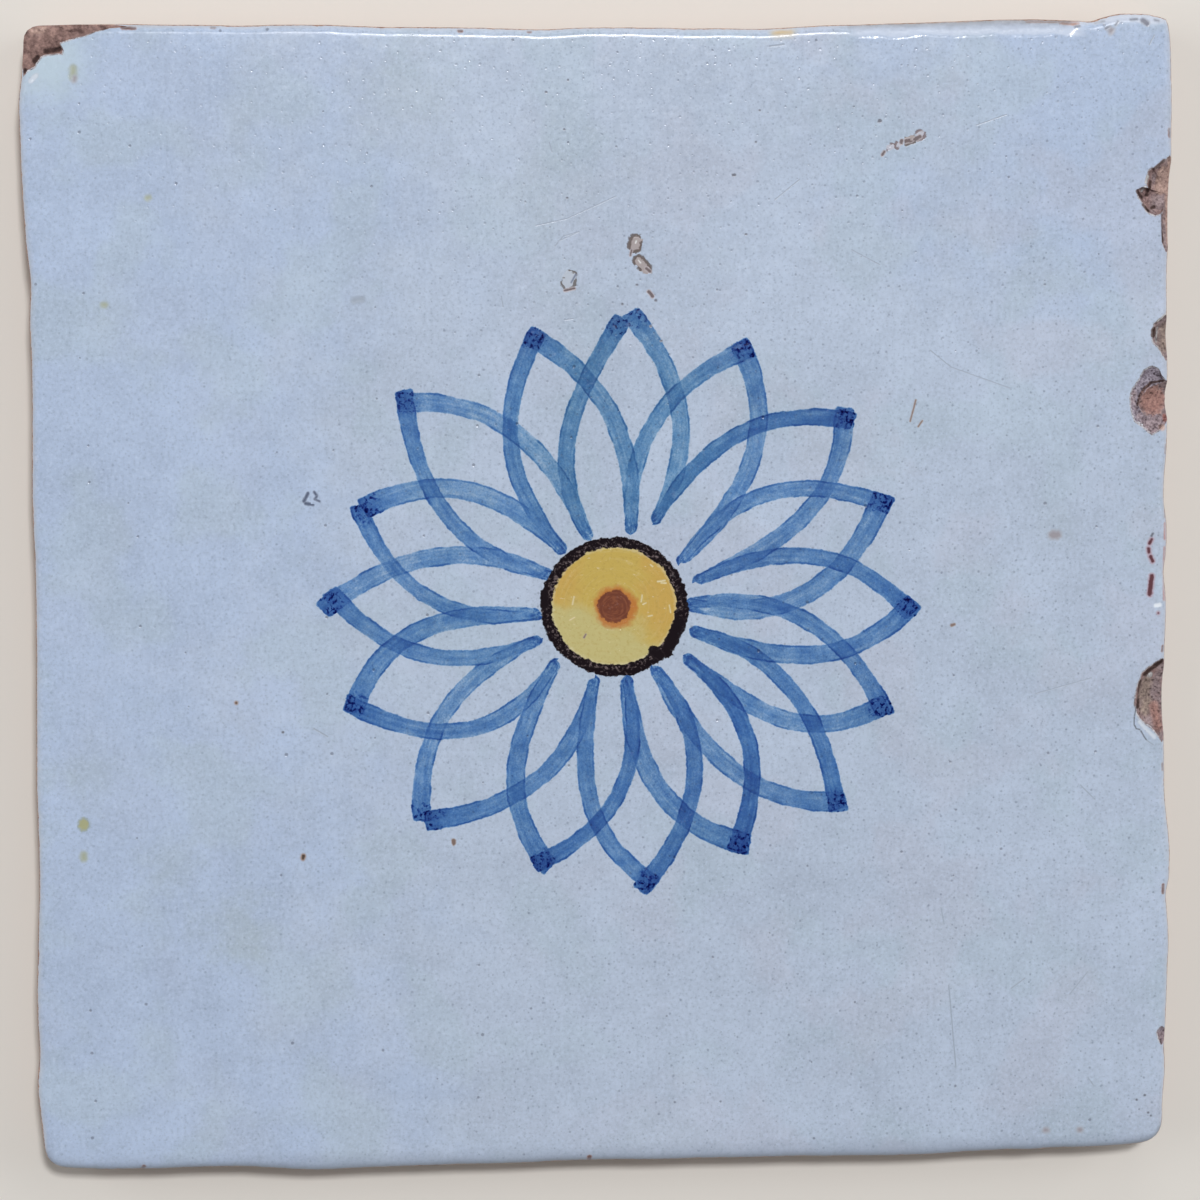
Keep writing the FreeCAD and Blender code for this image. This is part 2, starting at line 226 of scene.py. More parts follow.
class TilePaintingLook(bpy.types.PropertyGroup):
    """Brush width and colours of the painted rosette"""

    stroke_width: size_property("Stroke width", "Width that the brush paints", 3.0 * MM)
    cobalt: colour_property("Cobalt wash", "How one wash of cobalt stains white glaze", (113, 162, 210))
    manganese: colour_property("Manganese", "Dark outline round the rosette's middle", (20, 12, 18))
    yellow: colour_property("Yellow", "Yellow inside the outline", (191, 165, 84))
    rust: colour_property("Rust dot", "Iron brown of the dot in the middle", (104, 51, 33))


class TileGlazeLook(bpy.types.PropertyGroup):
    """Colours of the glaze and of the clay under it"""

    glaze: colour_property("Glaze", "Pale blue-grey tin glaze", (177, 190, 210))
    clay: colour_property("Clay", "Fired clay of the sides and the back", (206, 166, 148))
    gloss: bpy.props.FloatProperty(
        name="Gloss", description="Roughness of the clean glaze", default=0.18, min=0.05, max=1,
        subtype="FACTOR",
    )


class TileStageSettings(bpy.types.PropertyGroup):
    """The camera and the light that show the tile"""

    camera_distance: size_property("Camera distance", "Distance from the camera to the face", 0.655)
    lens: bpy.props.FloatProperty(
        name="Lens", description="Focal length on a sensor 36 mm wide", default=111.52, min=1, unit="CAMERA"
    )
    sky: bpy.props.FloatProperty(
        name="Sky strength", description="Strength of the even light from all round", default=0.16, min=0
    )
    window: bpy.props.FloatProperty(
        name="Window power", description="Power of the soft lamp high beyond the tile's top side",
        default=37.7, min=0, subtype="POWER", unit="POWER",
    )
    floor: colour_property("Floor", "Colour of the plain floor", (222, 218, 212))
    backdrop: colour_property("Backdrop", "How the far floor and the backdrop are seen", (214, 210, 204))


def only(obj):
    """Deselects everything, then selects obj and makes it active."""
    if bpy.context.mode != "OBJECT":
        bpy.ops.object.mode_set(mode="OBJECT")
    bpy.ops.object.select_all(action="DESELECT")
    obj.select_set(True)
    bpy.context.view_layer.objects.active = obj
    return obj


def unevenness(x, y, wavelength, seed):
    """A smooth, uneven value of about -1 to 1 at a place."""
    return noise.noise(Vector((x / wavelength, y / wavelength, seed * 7.31)))


def layered(place, layers):
    """Unevenness of several wavelengths at a place."""
    return sum(height * unevenness(*place, wavelength, seed) for height, wavelength, seed in layers)


def smooth_through(points, at):
    """Heights of a smooth curve through points, at these places along it."""
    x, y = np.array(points, float).T
    slope = np.gradient(y, x)
    at = np.clip(at, x[0], x[-1])
    i = np.clip(np.searchsorted(x, at) - 1, 0, len(x) - 2)
    width = x[i + 1] - x[i]
    t = (at - x[i]) / width
    rise = (2 * t**3 - 3 * t**2 + 1) * y[i] + (3 * t**2 - 2 * t**3) * y[i + 1]
    return rise + width * ((t**3 - 2 * t**2 + t) * slope[i] + (t**3 - t**2) * slope[i + 1])


def nearest_of(points):
    """A function that gives the index of the point nearest to a place in the plan."""
    tree = kdtree.KDTree(len(points))
    for k, p in enumerate(points):
        tree.insert((p[0], p[1], 0), k)
    tree.balance()
    return lambda x, y: tree.find((x, y, 0))[1]


def side_places(number, along):
    """Places on one side of the slab, with the small waves of a hand-cut edge."""
    out = smooth_through(SIDES[number], along)
    out = out + [layered((a, number), SIDE_WAVES) for a in along]
    turned = ((along, out), (out, along), (along, -out), (-out, along))[number]
    return np.stack(turned, 1)


def slab_corner(number):
    """Where the side before a corner and the side after it meet."""
    x, y = ((-100, 100), (100, 100), (100, -100), (-100, -100))[number]
    upright, level = ((3, 0), (1, 0), (1, 2), (3, 2))[number]
    # Each round moves the place closer to where both sides agree, and four are enough
    for _ in range(4):
        x = side_places(upright, np.array([float(y)]))[0][0]
        y = side_places(level, np.array([float(x)]))[0][1]
    return np.array([x, y])


def slab_outline(steps):
    """Places round the slab's edge, clockwise from the middle of the top left corner, and the way out at
    each, in millimetres. Each side has as many steps."""
    along_side, half_bend = 400, 8
    corners = [slab_corner(k) for k in range(4)]
    sides = []
    for k in range(4):
        axis, forward = k % 2, 1 if k in (0, 3) else -1
        start = corners[k][axis] + ROUND_REACH * CORNER_ROUNDS[k] * forward
        end = corners[(k + 1) % 4][axis] - ROUND_REACH * CORNER_ROUNDS[(k + 1) % 4] * forward
        sides.append(side_places(k, np.linspace(start, end, along_side)))
    t = np.linspace(0, 1, 2 * half_bend + 1)[:, None]
    bends = []
    for k in range(4):
        before, after = sides[k - 1][-1], sides[k][0]
        bends.append((1 - t) ** 2 * before + 2 * t * (1 - t) * corners[k] + t**2 * after)
    path, middles = [bends[0][half_bend:-1]], [0]
    for k in range(4):
        path.append(sides[k])
        if k < 3:
            middles.append(sum(len(p) for p in path) + half_bend - 1)
            path.append(bends[k + 1][1:-1])
    path = np.concatenate([*path, bends[0][1:half_bend + 1]])
    length = np.concatenate([[0], np.cumsum(np.linalg.norm(np.diff(path, axis=0), axis=1))])
    stops = [length[m] for m in middles] + [length[-1]]
    at = np.concatenate([np.linspace(a, b, steps, endpoint=False) for a, b in zip(stops, stops[1:])])
    place = np.stack([np.interp(at, length, path[:, i]) for i in (0, 1)], 1)
    ahead = np.roll(place, -1, axis=0) - np.roll(place, 1, axis=0)
    out = np.stack([-ahead[:, 1], ahead[:, 0]], 1)
    return place, out / np.linalg.norm(out, axis=1)[:, None]


def face_height(x, y, thick):
    """Height of the glazed face at a place, in millimetres: it waves a little and thins out at its edges."""
    edge = max(0.0, min(100 - abs(x), 100 - abs(y)))
    return thick + layered((x, y), FACE_WAVES) - 0.12 * math.exp(-edge / 2.5)


def spread_face(tile, rim, n, thick):
    """Spreads a square grid evenly over the face inside the rim, which runs clockwise from the top left."""
    top, right, bottom = rim[:n + 1], rim[n:2 * n + 1][::-1], rim[2 * n:3 * n + 1][::-1]
    left = np.concatenate([rim[3 * n:], rim[:1]])
    for vertex in tile.data.vertices:
        u, v = (vertex.co.x + 1) / 2, (vertex.co.y + 1) / 2
        i, j = round(u * n), round(v * n)
        place = (1 - v) * bottom[i] + v * top[i] + (1 - u) * left[j] + u * right[j]
        place = place - (1 - u) * ((1 - v) * left[0] + v * left[n]) - u * ((1 - v) * right[0] + v * right[n])
        vertex.co = Vector((place[0], place[1], face_height(place[0], place[1], thick))) * MM
    tile.data.update()


def side_rows(sizes):
    """How far in and how high each row of the sides lies, from the face's rim down to the back."""
    arris, thick = sizes.arris / MM, sizes.thickness / MM
    band, lean = thick - sizes.band / MM, math.tan(sizes.undercut)
    turns = np.radians(range(15, 91, 15))
    rolled = [(arris * (1 - math.sin(a)), thick - arris * (1 - math.cos(a))) for a in turns]
    leaning = [((band - z) * lean, z) for z in (band - 2, band - 4.5, band - 7, 0.8, 0.25)]
    return [*rolled, (0.0, band + 1), (0.0, band), *leaning, (band * lean + 0.3, 0.0)]


def roll_sides(tile, edge, out, rim, sizes):
    """Extrudes the face's rim over the arris and down the sides, then closes the back."""
    thick = sizes.thickness / MM
    only(tile)
    bpy.ops.object.mode_set(mode="EDIT")
    bpy.ops.mesh.select_mode(type="EDGE")
    bpy.ops.mesh.select_all(action="DESELECT")
    bpy.ops.mesh.select_non_manifold()
    last = rim
    for inset, height in side_rows(sizes):
        bpy.ops.mesh.extrude_region_move()
        mesh = bmesh.from_edit_mesh(tile.data)
        rank, row = nearest_of(last), edge - out * inset
        for vertex in mesh.verts:
            if vertex.select:
                x, y = row[rank(vertex.co.x / MM, vertex.co.y / MM)]
                rolled = max(0.0, (height - thick + 2.0) / 2.0)
                wave = rolled * (face_height(x, y, thick) - thick + 0.06 * unevenness(x, y, 5, 4))
                vertex.co = Vector((x, y, height + wave)) * MM
        bmesh.update_edit_mesh(tile.data)
        last = row
    bpy.ops.mesh.edge_face_add()
    bpy.ops.mesh.select_all(action="SELECT")
    bpy.ops.mesh.normals_make_consistent(inside=False)
    bpy.ops.object.mode_set(mode="OBJECT")


class TILE_OT_slab(bpy.types.Operator):
    """Makes the fired slab: an uneven face, a rolled arris and sides that lean in below an upright band"""

    bl_idname = "tile.slab"
    bl_label = "Slab"

    def execute(self, context):
        sizes = context.scene.tile_slab
        n = sizes.face_cells
        edge, out = slab_outline(n)
        rim = edge - out * (sizes.arris / MM)
        bpy.ops.object.select_all(action="DESELECT")
        bpy.ops.mesh.primitive_grid_add(x_subdivisions=n, y_subdivisions=n, size=2, location=(0, 0, 0))
        tile = context.object
        tile.name = PIECE
        spread_face(tile, rim, n, sizes.thickness / MM)
        roll_sides(tile, edge, out, rim, sizes)
        if min(p.normal.z for p in tile.data.polygons[:100]) < 0.5:
            raise RuntimeError("the slab is inside out")
        return {"FINISHED"}


def round_the_break(line, beyond, spokes):
    """Places round a break: three quarters of them along its broken line, and the rest beyond the slab."""
    on_line = spokes * 3 // 4
    stops = ((line, on_line), ((line[-1], *beyond, line[0]), spokes - on_line))
    parts = []
    for points, count in stops:
        points = np.array(points, float)
        length = np.concatenate([[0], np.cumsum(np.linalg.norm(np.diff(points, axis=0), axis=1))])
        at = np.linspace(0, length[-1], count, endpoint=False)
        parts.append(np.stack([np.interp(at, length, points[:, i]) for i in (0, 1)], 1))
    return np.concatenate(parts)


def press_break(name, spec, sizes, materials):
    """A ball pressed into the shape of one break, to be cut from the slab: a lid above the face, a bevelled
    wall along the broken line and a rough floor that falls towards the side."""
    middle = np.array(spec["middle"])
    line = spec["line"]
    beyond = spec.get("beyond", ((104.0, line[-1][1]), (104.0, line[0][1])))
    spokes, rings = 200, 34
    floor_rings, lid_rings = rings - 8, 4
    thick, glaze = sizes.thickness / MM, sizes.glaze_depth / MM
    lip, above = spec.get("lip", glaze), 1.5
    bevel = sizes.bevel / MM
    bpy.ops.object.select_all(action="DESELECT")
    bpy.ops.mesh.primitive_uv_sphere_add(segments=spokes, ring_count=rings, radius=1)
    ball = bpy.context.object
    ball.name = name
    level = nearest_of([(-math.cos(math.pi * k / rings), 0) for k in range(rings + 1)])
    edge = round_the_break(line, beyond, spokes)
    for vertex in ball.data.vertices:
        k = level(vertex.co.z, 0)
        turn = math.atan2(vertex.co.y, vertex.co.x) / (2 * math.pi)
        rim = edge[round(turn * spokes) % spokes]
        away = rim - middle
        far = np.linalg.norm(away)
        jag = layered(rim, JAGS)
        share = min(1.0, k / floor_rings)
        if k > rings - lid_rings:
            share = (rings - k) / lid_rings
        climb = min(1.0, max(0, k - floor_rings) / (rings - floor_rings - lid_rings))
        slope = bevel * (1 - climb * (lip + above) / lip)
        place = middle + away / far * (far + jag - slope) * share
        if k <= floor_rings:
            fall = 1 - share ** (1 + spec["curve"])
            grain = spec["grain"] * layered(place, FLOOR_GRAIN) * min(1, 6 * (1 - share) + 0.3)
            z = thick - lip - (spec["depth"] - lip) * fall + grain
        else:
            z = thick - lip + (lip + above) * climb
        vertex.co = Vector((place[0], place[1], z)) * MM
    ball.data.update()
    ball.data.materials.append(materials["broken_glaze"])
    ball.data.materials.append(materials[spec["floor"]])
    for face in ball.data.polygons:
        face.material_index = 1 if face.center.z < (thick - lip - 0.02) * MM else 0
    only(ball)
    bpy.ops.object.mode_set(mode="EDIT")
    bpy.ops.mesh.select_all(action="SELECT")
    bpy.ops.mesh.normals_make_consistent(inside=False)
    bpy.ops.object.mode_set(mode="OBJECT")
    return ball


def lay_finishes(tile, sizes, materials):
    """Gives the slab its finishes: glaze on the face and the arris, and bare clay below them."""
    for finish in materials.values():
        tile.data.materials.append(finish)
    glazed_above = sizes.thickness - 1.05 * sizes.arris - 0.2 * MM
    for face in tile.data.polygons:
        lowest = min(tile.data.vertices[v].co.z for v in face.vertices)
        face.material_index = 0 if lowest > glazed_above else 1


def cut_away(tile, ball):
    """Cuts the ball out of the slab. The faces that the cut makes keep the ball's finishes."""
    only(tile)
    cut = tile.modifiers.new(ball.name, "BOOLEAN")
    cut.operation, cut.solver, cut.object = "DIFFERENCE", "EXACT", ball
    cut.material_mode = "TRANSFER"
    before = len(tile.data.polygons)
    bpy.ops.object.modifier_apply(modifier=cut.name)
    if len(tile.data.polygons) == before:
        raise RuntimeError(f"{ball.name} cut nothing")
    bpy.data.objects.remove(ball)


class TILE_OT_broken_edges(bpy.types.Operator):
    """Breaks the corner flake, the side chips and the nick out of the slab's edge"""

    bl_idname = "tile.broken_edges"
    bl_label = "Broken edges"

    def execute(self, context):
        tile, sizes = context.scene.objects[PIECE], context.scene.tile_slab
        materials = tile_materials()
        lay_finishes(tile, sizes, materials)
        for name, spec in BREAKS.items():
            cut_away(tile, press_break(name, spec, sizes, materials))
        bpy.ops.object.mode_set(mode="EDIT")
        bpy.ops.mesh.select_all(action="SELECT")
        bpy.ops.mesh.remove_doubles(threshold=0.01 * MM)
        bpy.ops.object.mode_set(mode="OBJECT")
        bpy.ops.object.shade_smooth_by_angle(angle=SMOOTH_ANGLE)
        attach(tile, "root")
        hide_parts(NODE)
        return {"FINISHED"}


# How each kind of mark in the glaze looks: its colour, how much it covers, its halo, the halo's width and the
# softness of its edge, both in millimetres. A loop has one value more, the width of the line that draws it.
MARK_KINDS = {
    "dark_speck": ((84, 86, 98), 0.80, (150, 158, 174), 0.18, 0.12),
    "grey_curl": ((58, 70, 96), 0.85, (136, 146, 168), 0.22, 0.18),
    "brown_speck": ((104, 82, 72), 0.85, (165, 150, 145), 0.22, 0.12),
    "brown_smudge": ((128, 112, 112), 0.55, (168, 172, 184), 0.70, 0.35),
    "hairline": ((128, 136, 152), 0.42, (168, 180, 198), 0.10, 0.08),
    "green_stain": ((150, 154, 118), 0.60, (168, 178, 176), 0.70, 0.40),
    "olive_drip": ((162, 162, 120), 0.90, (146, 158, 156), 0.55, 0.30),
    "tan_stain": ((202, 176, 132), 0.80, (186, 184, 176), 1.30, 0.60),
    "grey_smudge": ((140, 150, 164), 0.50, (160, 172, 190), 0.60, 0.40),
    "open_bubble": ((84, 78, 76), 0.90, (181, 189, 202), 0.08, 0.10, 0.26),
    "burst_bubble": ((76, 62, 58), 0.90, (162, 148, 144), 0.12, 0.12, 0.30),
    "brown_curl": ((100, 80, 82), 0.85, (186, 186, 198), 0.12, 0.10, 0.26),
    "brown_blob": ((82, 66, 68), 0.90, (188, 180, 186), 0.26, 0.15),
    "crater": ((48, 38, 34), 0.90, (150, 118, 90), 0.45, 0.12),
    "maroon_blotch": ((76, 24, 36), 0.95, (176, 150, 164), 0.45, 0.14),
    "manganese_dab": ((20, 12, 18), 1.00, (44, 34, 38), 0.10, 0.14),
    "bare_patch": ((178, 134, 118), 0.95, (206, 180, 172), 0.25, 0.12),
    "dark_nick": ((96, 68, 62), 0.90, (164, 134, 128), 0.25, 0.14),
    "worn_line": ((176, 106, 96), 0.70, (186, 150, 148), 0.30, 0.20),
    # A painted highlight: a small white glint on the glaze
    "painted_glint": ((226, 232, 240), 0.90, (196, 206, 222), 0.30, 0.15),
    "glaze_scrap": ((214, 216, 218), 0.95, (150, 136, 132), 0.18, 0.15),
    "crack": ((84, 88, 100), 0.80, (140, 148, 162), 0.16, 0.10),
    "glaze_flake": ((206, 213, 224), 0.70, (190, 199, 212), 0.30, 0.20),
    # Painted shadow in the hollows of a break
    "painted_hollow_shadow": ((66, 48, 46), 0.85, (110, 88, 84), 0.25, 0.20),
    "grey_pit": ((106, 106, 120), 0.80, (168, 176, 190), 0.40, 0.20),
    "scratch": ((218, 208, 174), 0.65, (202, 186, 134), 0.20, 0.12),
    "pale_clay": ((226, 196, 184), 0.75, (200, 170, 158), 0.60, 0.35),
    "brown_clay": ((180, 164, 152), 0.75, (172, 154, 148), 0.80, 0.50),
    "orange_clay": ((192, 150, 140), 0.75, (196, 158, 150), 0.90, 0.60),
}
# The marks of one face lie in these two layers
MARK_LAYERS = ("lower_mark", "upper_mark")
# The marks that the glaze carries: kind, place, length and width in millimetres and turn in degrees
# Some of these are painted light: the small white glints are painted highlights, and the dark marks in the
# breaks' hollows are painted shadow
MARKS = (
    ("green_stain", -91.2, 91.6, 2.3, 0.8, 86), ("brown_smudge", -91.0, 90.5, 0.9, 0.4, 75),
    ("green_stain", -78.8, 70.1, 0.8, 0.5, 20), ("green_stain", -86.7, 51.7, 0.9, 0.6, 0),
    ("olive_drip", -92.1, -39.2, 2.0, 1.6, 80), ("green_stain", -92.2, -44.9, 1.4, 0.8, 90),
    ("grey_smudge", -42.8, 52.2, 2.2, 0.8, 10), ("grey_curl", -52.35, 17.9, 2.0, 0.45, 62),
    ("grey_curl", -51.8, 16.7, 1.7, 0.50, -10), ("grey_curl", -50.7, 18.45, 1.1, 0.35, -58),
    ("grey_curl", -50.65, 17.75, 0.8, 0.30, 55), ("grey_curl", -50.3, 17.3, 0.9, 0.25, -25),
    ("crater", -65.1, -18.1, 0.3, 0.3, 0), ("crater", -53.8, -45.7, 0.9, 0.5, 80),
    ("dark_speck", -57.0, -23.4, 0.4, 0.35, 0), ("brown_speck", -27.2, -43.5, 1.1, 0.6, 95),
    ("open_bubble", -6.0, 55.4, 3.3, 2.3, 75), ("brown_blob", -5.9, 53.7, 2.1, 0.4, 12),
    ("grey_curl", -5.2, 55.6, 1.7, 0.12, 60), ("burst_bubble", 5.7, 61.6, 2.9, 2.1, 78),
    ("brown_blob", 4.9, 60.0, 1.2, 0.3, 75), ("burst_bubble", 6.9, 57.9, 3.6, 1.7, -48),
    ("brown_blob", 7.9, 57.0, 1.3, 0.5, -40), ("glaze_scrap", 5.8, 61.9, 0.6, 0.3, 70),
    ("glaze_scrap", 6.4, 58.5, 0.8, 0.25, -50), ("brown_blob", 8.3, 52.8, 1.6, 0.6, -52),
    ("hairline", -7.6, 62.2, 2.6, 0.16, 50), ("hairline", -5.4, 63.4, 2.6, 0.14, 18),
    ("dark_speck", 9.2, 51.7, 0.45, 0.4, 0), ("dark_speck", 5.9, 54.4, 0.4, 0.3, 0),
    ("dark_speck", 3.3, 51.1, 0.4, 0.35, 0), ("dark_speck", 48.7, 82.6, 0.7, 0.6, 0),
    ("brown_blob", 49.3, 77.0, 1.1, 0.45, 58), ("brown_curl", 50.6, 78.1, 1.6, 0.9, 20),
    ("brown_curl", 51.9, 78.4, 1.3, 0.9, 60), ("brown_blob", 52.5, 79.0, 0.9, 0.6, 80),
    ("burst_bubble", 54.0, 79.3, 2.4, 1.2, 22), ("brown_blob", 53.8, 79.2, 1.8, 0.7, 15),
    ("brown_curl", 55.7, 80.1, 2.0, 1.5, 35), ("brown_blob", 55.3, 79.6, 1.6, 0.7, 28),
    ("brown_speck", 54.6, 31.9, 4.0, 0.16, 75), ("brown_speck", 55.9, 29.6, 1.4, 0.18, 55),
    ("brown_speck", 61.8, -6.2, 0.9, 0.4, 20), ("brown_smudge", 80.0, 9.6, 2.0, 1.2, 0),
    ("tan_stain", 31.7, 98.2, 3.4, 1.0, 3), ("hairline", 30.6, 95.8, 2.8, 0.3, 8),
    ("maroon_blotch", 97.2, 8.2, 1.3, 0.55, 62), ("maroon_blotch", 96.9, 6.6, 1.2, 0.6, 100),
    ("maroon_blotch", 97.4, 5.1, 1.5, 0.6, 115), ("maroon_blotch", 97.3, 0.4, 4.0, 0.8, 84),
    ("dark_speck", 97.5, 9.4, 0.8, 0.35, 60), ("maroon_blotch", 98.7, -4.6, 0.35, 0.3, 0),
    # A painted highlight on the right edge, beside a worn line
    ("painted_glint", 98.6, -3.2, 1.4, 0.6, 10), ("worn_line", 99.9, 2.4, 9.6, 0.4, 90),
    ("hairline", -9.1, 65.4, 5.5, 0.16, 12), ("hairline", -2.0, 67.9, 9.7, 0.14, 24),
    ("hairline", -6.0, 62.9, 4.2, 0.14, 24), ("hairline", -9.0, 78.4, 1.8, 0.16, -73),
    ("hairline", -17.7, 51.7, 2.0, 0.16, -80), ("hairline", 32.4, 70.8, 5.7, 0.16, 39),
    ("hairline", -6.0, 48.5, 1.5, 0.18, 10), ("hairline", 68.4, 82.7, 5.8, 0.16, 19),
    ("hairline", 46.2, 58.9, 5.8, 0.14, -28), ("hairline", 59.5, 41.0, 4.9, 0.14, -39),
    ("hairline", 66.6, 37.6, 11.2, 0.14, -20), ("hairline", 61.8, -78.6, 15.2, 0.20, -85),
    ("hairline", 60.0, -58.5, 3.2, 0.14, -79), ("hairline", 73.7, -71.0, 3.2, 0.16, 36),
    ("hairline", 81.7, -17.4, 10.4, 0.14, 15), ("hairline", 87.0, -89.3, 1.9, 0.16, -54),
    ("hairline", 86.1, -36.6, 3.8, 0.15, -45), ("hairline", 84.7, -71.2, 5.3, 0.14, 51),
    ("hairline", -50.4, -23.6, 3.0, 0.22, -32),
    ("crack", 94.7, -22.2, 1.6, 0.14, 77), ("crack", 94.5, -23.9, 1.5, 0.16, 90),
    ("crack", 94.7, -25.0, 0.8, 0.16, -63), ("crack", 95.2, -25.4, 0.8, 0.14, -15),
    ("crack", 95.9, -26.05, 1.3, 0.16, -61), ("crack", 96.5, -27.05, 1.1, 0.14, -54),
    ("hairline", 97.4, -27.9, 1.6, 0.18, -35), ("hairline", 95.4, -24.4, 1.5, 0.14, -68),
    ("glaze_flake", 96.8, -25.5, 4.4, 0.5, -46),
    ("scratch", 9.9, 2.35, 1.5, 0.16, 8), ("scratch", 10.3, 2.0, 1.0, 0.16, -4),
    ("scratch", 6.4, -0.7, 1.3, 0.12, 82), ("scratch", 6.9, -1.6, 0.7, 0.10, 25),
    ("scratch", -5.7, -0.9, 1.5, 0.12, 78), ("scratch", -5.9, -4.1, 1.1, 0.12, 30),
    ("scratch", 8.2, 5.1, 0.6, 0.14, -40), ("scratch", 11.4, -2.6, 1.4, 0.10, 100),
    ("scratch", 7.9, -3.8, 0.8, 0.10, 10),
    ("dark_speck", -5.9, 90.0, 0.3, 0.3, 0), ("dark_speck", -9.7, 87.9, 0.4, 0.3, 0),
    ("dark_speck", -6.6, 81.5, 0.3, 0.3, 0), ("dark_speck", -6.2, 69.6, 0.4, 0.3, 0),
    ("dark_speck", 23.0, 73.4, 0.7, 0.5, 0), ("dark_speck", 26.9, 79.1, 0.3, 0.3, 0),
    ("dark_speck", 27.6, 84.6, 0.3, 0.3, 0), ("dark_speck", 25.1, 63.1, 0.4, 0.3, 0),
    ("dark_speck", 8.3, 47.2, 0.4, 0.35, 0), ("dark_speck", 10.1, 44.6, 0.4, 0.3, 0),
    ("manganese_dab", 11.9, -7.6, 7.8, 2.0, 68), ("manganese_dab", 9.0, -10.4, 3.2, 1.7, -40),
    ("manganese_dab", -10.8, -0.6, 3.6, 1.4, 90), ("brown_speck", -3.7, -7.2, 0.8, 0.2, 60),
    ("brown_smudge", 78.9, -98.0, 0.9, 0.6, 0), ("brown_smudge", 85.1, -98.1, 0.8, 0.6, 0),
    ("dark_speck", 96.9, -92.0, 0.4, 0.35, 0),
    ("dark_speck", 95.4, -92.8, 0.35, 0.3, 0), ("dark_speck", 97.5, -95.2, 0.35, 0.3, 0),
    ("dark_speck", 98.0, -95.8, 0.3, 0.3, 0),
    ("dark_nick", -67.1, 99.3, 0.9, 0.4, 0), ("dark_nick", -24.5, 98.5, 0.9, 0.4, 0),
    ("dark_nick", -12.5, 98.3, 0.7, 0.25, 0), ("dark_nick", -81.6, 99.2, 2.6, 0.5, 0),
    ("bare_patch", 56.7, 99.8, 5.0, 0.4, 0), ("bare_patch", 63.7, 99.9, 1.6, 0.4, 0),
    ("bare_patch", 77.8, 99.85, 6.5, 0.45, 0), ("bare_patch", 82.2, 99.6, 3.6, 0.8, -6),
    ("grey_pit", 83.6, 98.9, 1.0, 0.2, 12),
    ("grey_pit", 87.6, 99.7, 1.8, 0.25, 14), ("grey_pit", 89.0, 98.6, 1.0, 0.35, 20),
    ("brown_smudge", 89.6, 98.1, 1.0, 0.7, 60), ("grey_pit", 90.6, 99.4, 1.0, 0.2, 55),
    ("grey_pit", 93.6, 100.1, 1.4, 0.30, 3), ("grey_pit", 95.6, 99.65, 1.7, 0.9, -35),
    ("grey_pit", 97.7, 99.9, 0.9, 0.25, -10), ("hairline", 96.8, 96.5, 2.0, 0.2, 62),
    ("dark_nick", 100.2, 80.3, 1.6, 0.5, 90),
    ("bare_patch", 100.2, 54.8, 1.6, 0.5, 80), ("dark_nick", 100.05, 24.6, 1.8, 0.4, 90),
    ("dark_nick", 100.0, 20.0, 1.0, 0.4, 90), ("dark_nick", 100.0, 18.2, 1.4, 0.3, 90),
    ("dark_nick", 99.95, 13.1, 1.4, 0.3, 90), ("worn_line", 99.95, 10.0, 3.0, 0.4, 90),
    ("dark_nick", 99.6, -11.0, 1.2, 0.35, 80), ("dark_nick", 100.0, -54.4, 1.8, 0.4, 90),
    ("dark_nick", 99.8, -32.3, 1.4, 0.3, 90), ("dark_nick", -3.6, -101.2, 1.2, 0.7, 90),
    ("dark_nick", -82.9, -100.9, 1.0, 0.5, 60),
    ("glaze_flake", -98.0, 90.7, 2.0, 0.6, 46), ("painted_glint", -98.2, 90.3, 0.4, 0.2, 45),
    # Painted shadow in the broken corner's hollows, and below it in the side breaks' hollows
    ("painted_hollow_shadow", -94.7, 95.5, 3.0, 0.7, 8), ("painted_hollow_shadow", -97.5, 94.0, 1.6, 0.7, 45),
    ("pale_clay", -97.2, 99.0, 2.4, 0.7, 4), ("painted_hollow_shadow", -99.5, 92.0, 0.8, 0.4, 60),
    ("painted_hollow_shadow", 98.3, 74.8, 2.6, 0.30, 40), ("painted_hollow_shadow", 96.7, 70.6, 2.8, 0.55, 75),
    ("painted_hollow_shadow", 94.9, 69.6, 1.8, 0.50, -50), ("painted_hollow_shadow", 96.0, 67.2, 1.8, 0.35, -45),
    ("painted_hollow_shadow", 97.6, 67.3, 1.0, 0.35, 20), ("painted_hollow_shadow", 99.0, 63.6, 5.0, 0.30, 92),
    ("glaze_scrap", 96.2, 72.2, 1.6, 0.55, 75), ("glaze_scrap", 95.6, 70.5, 1.2, 0.40, 60),
    ("pale_clay", 100.6, 68.0, 16.0, 0.6, 90), ("pale_clay", 99.3, 72.0, 4.4, 1.8, 84),
    ("painted_hollow_shadow", 97.5, 45.3, 1.8, 0.75, 84), ("glaze_scrap", 98.3, 44.9, 2.8, 0.28, 84),
    ("glaze_scrap", 99.2, 48.0, 2.6, 0.28, 42), ("brown_clay", 99.8, 44.4, 4.6, 1.6, 85),
    ("painted_hollow_shadow", 98.3, 36.5, 2.6, 0.25, 8),
    ("painted_hollow_shadow", 96.6, 35.7, 1.6, 0.35, 35), ("painted_hollow_shadow", 95.6, 34.5, 1.6, 0.35, 58),
    ("painted_hollow_shadow", 95.0, 33.0, 1.4, 0.22, 76), ("orange_clay", 97.9, 33.2, 2.6, 4.2, 80),
    ("pale_clay", 99.3, 28.4, 0.6, 0.5, 0), ("worn_line", 99.9, 30.1, 1.2, 0.6, 80),
    ("glaze_scrap", 97.5, -15.9, 1.3, 0.95, 60), ("painted_hollow_shadow", 97.9, -14.5, 4.2, 0.6, 38),
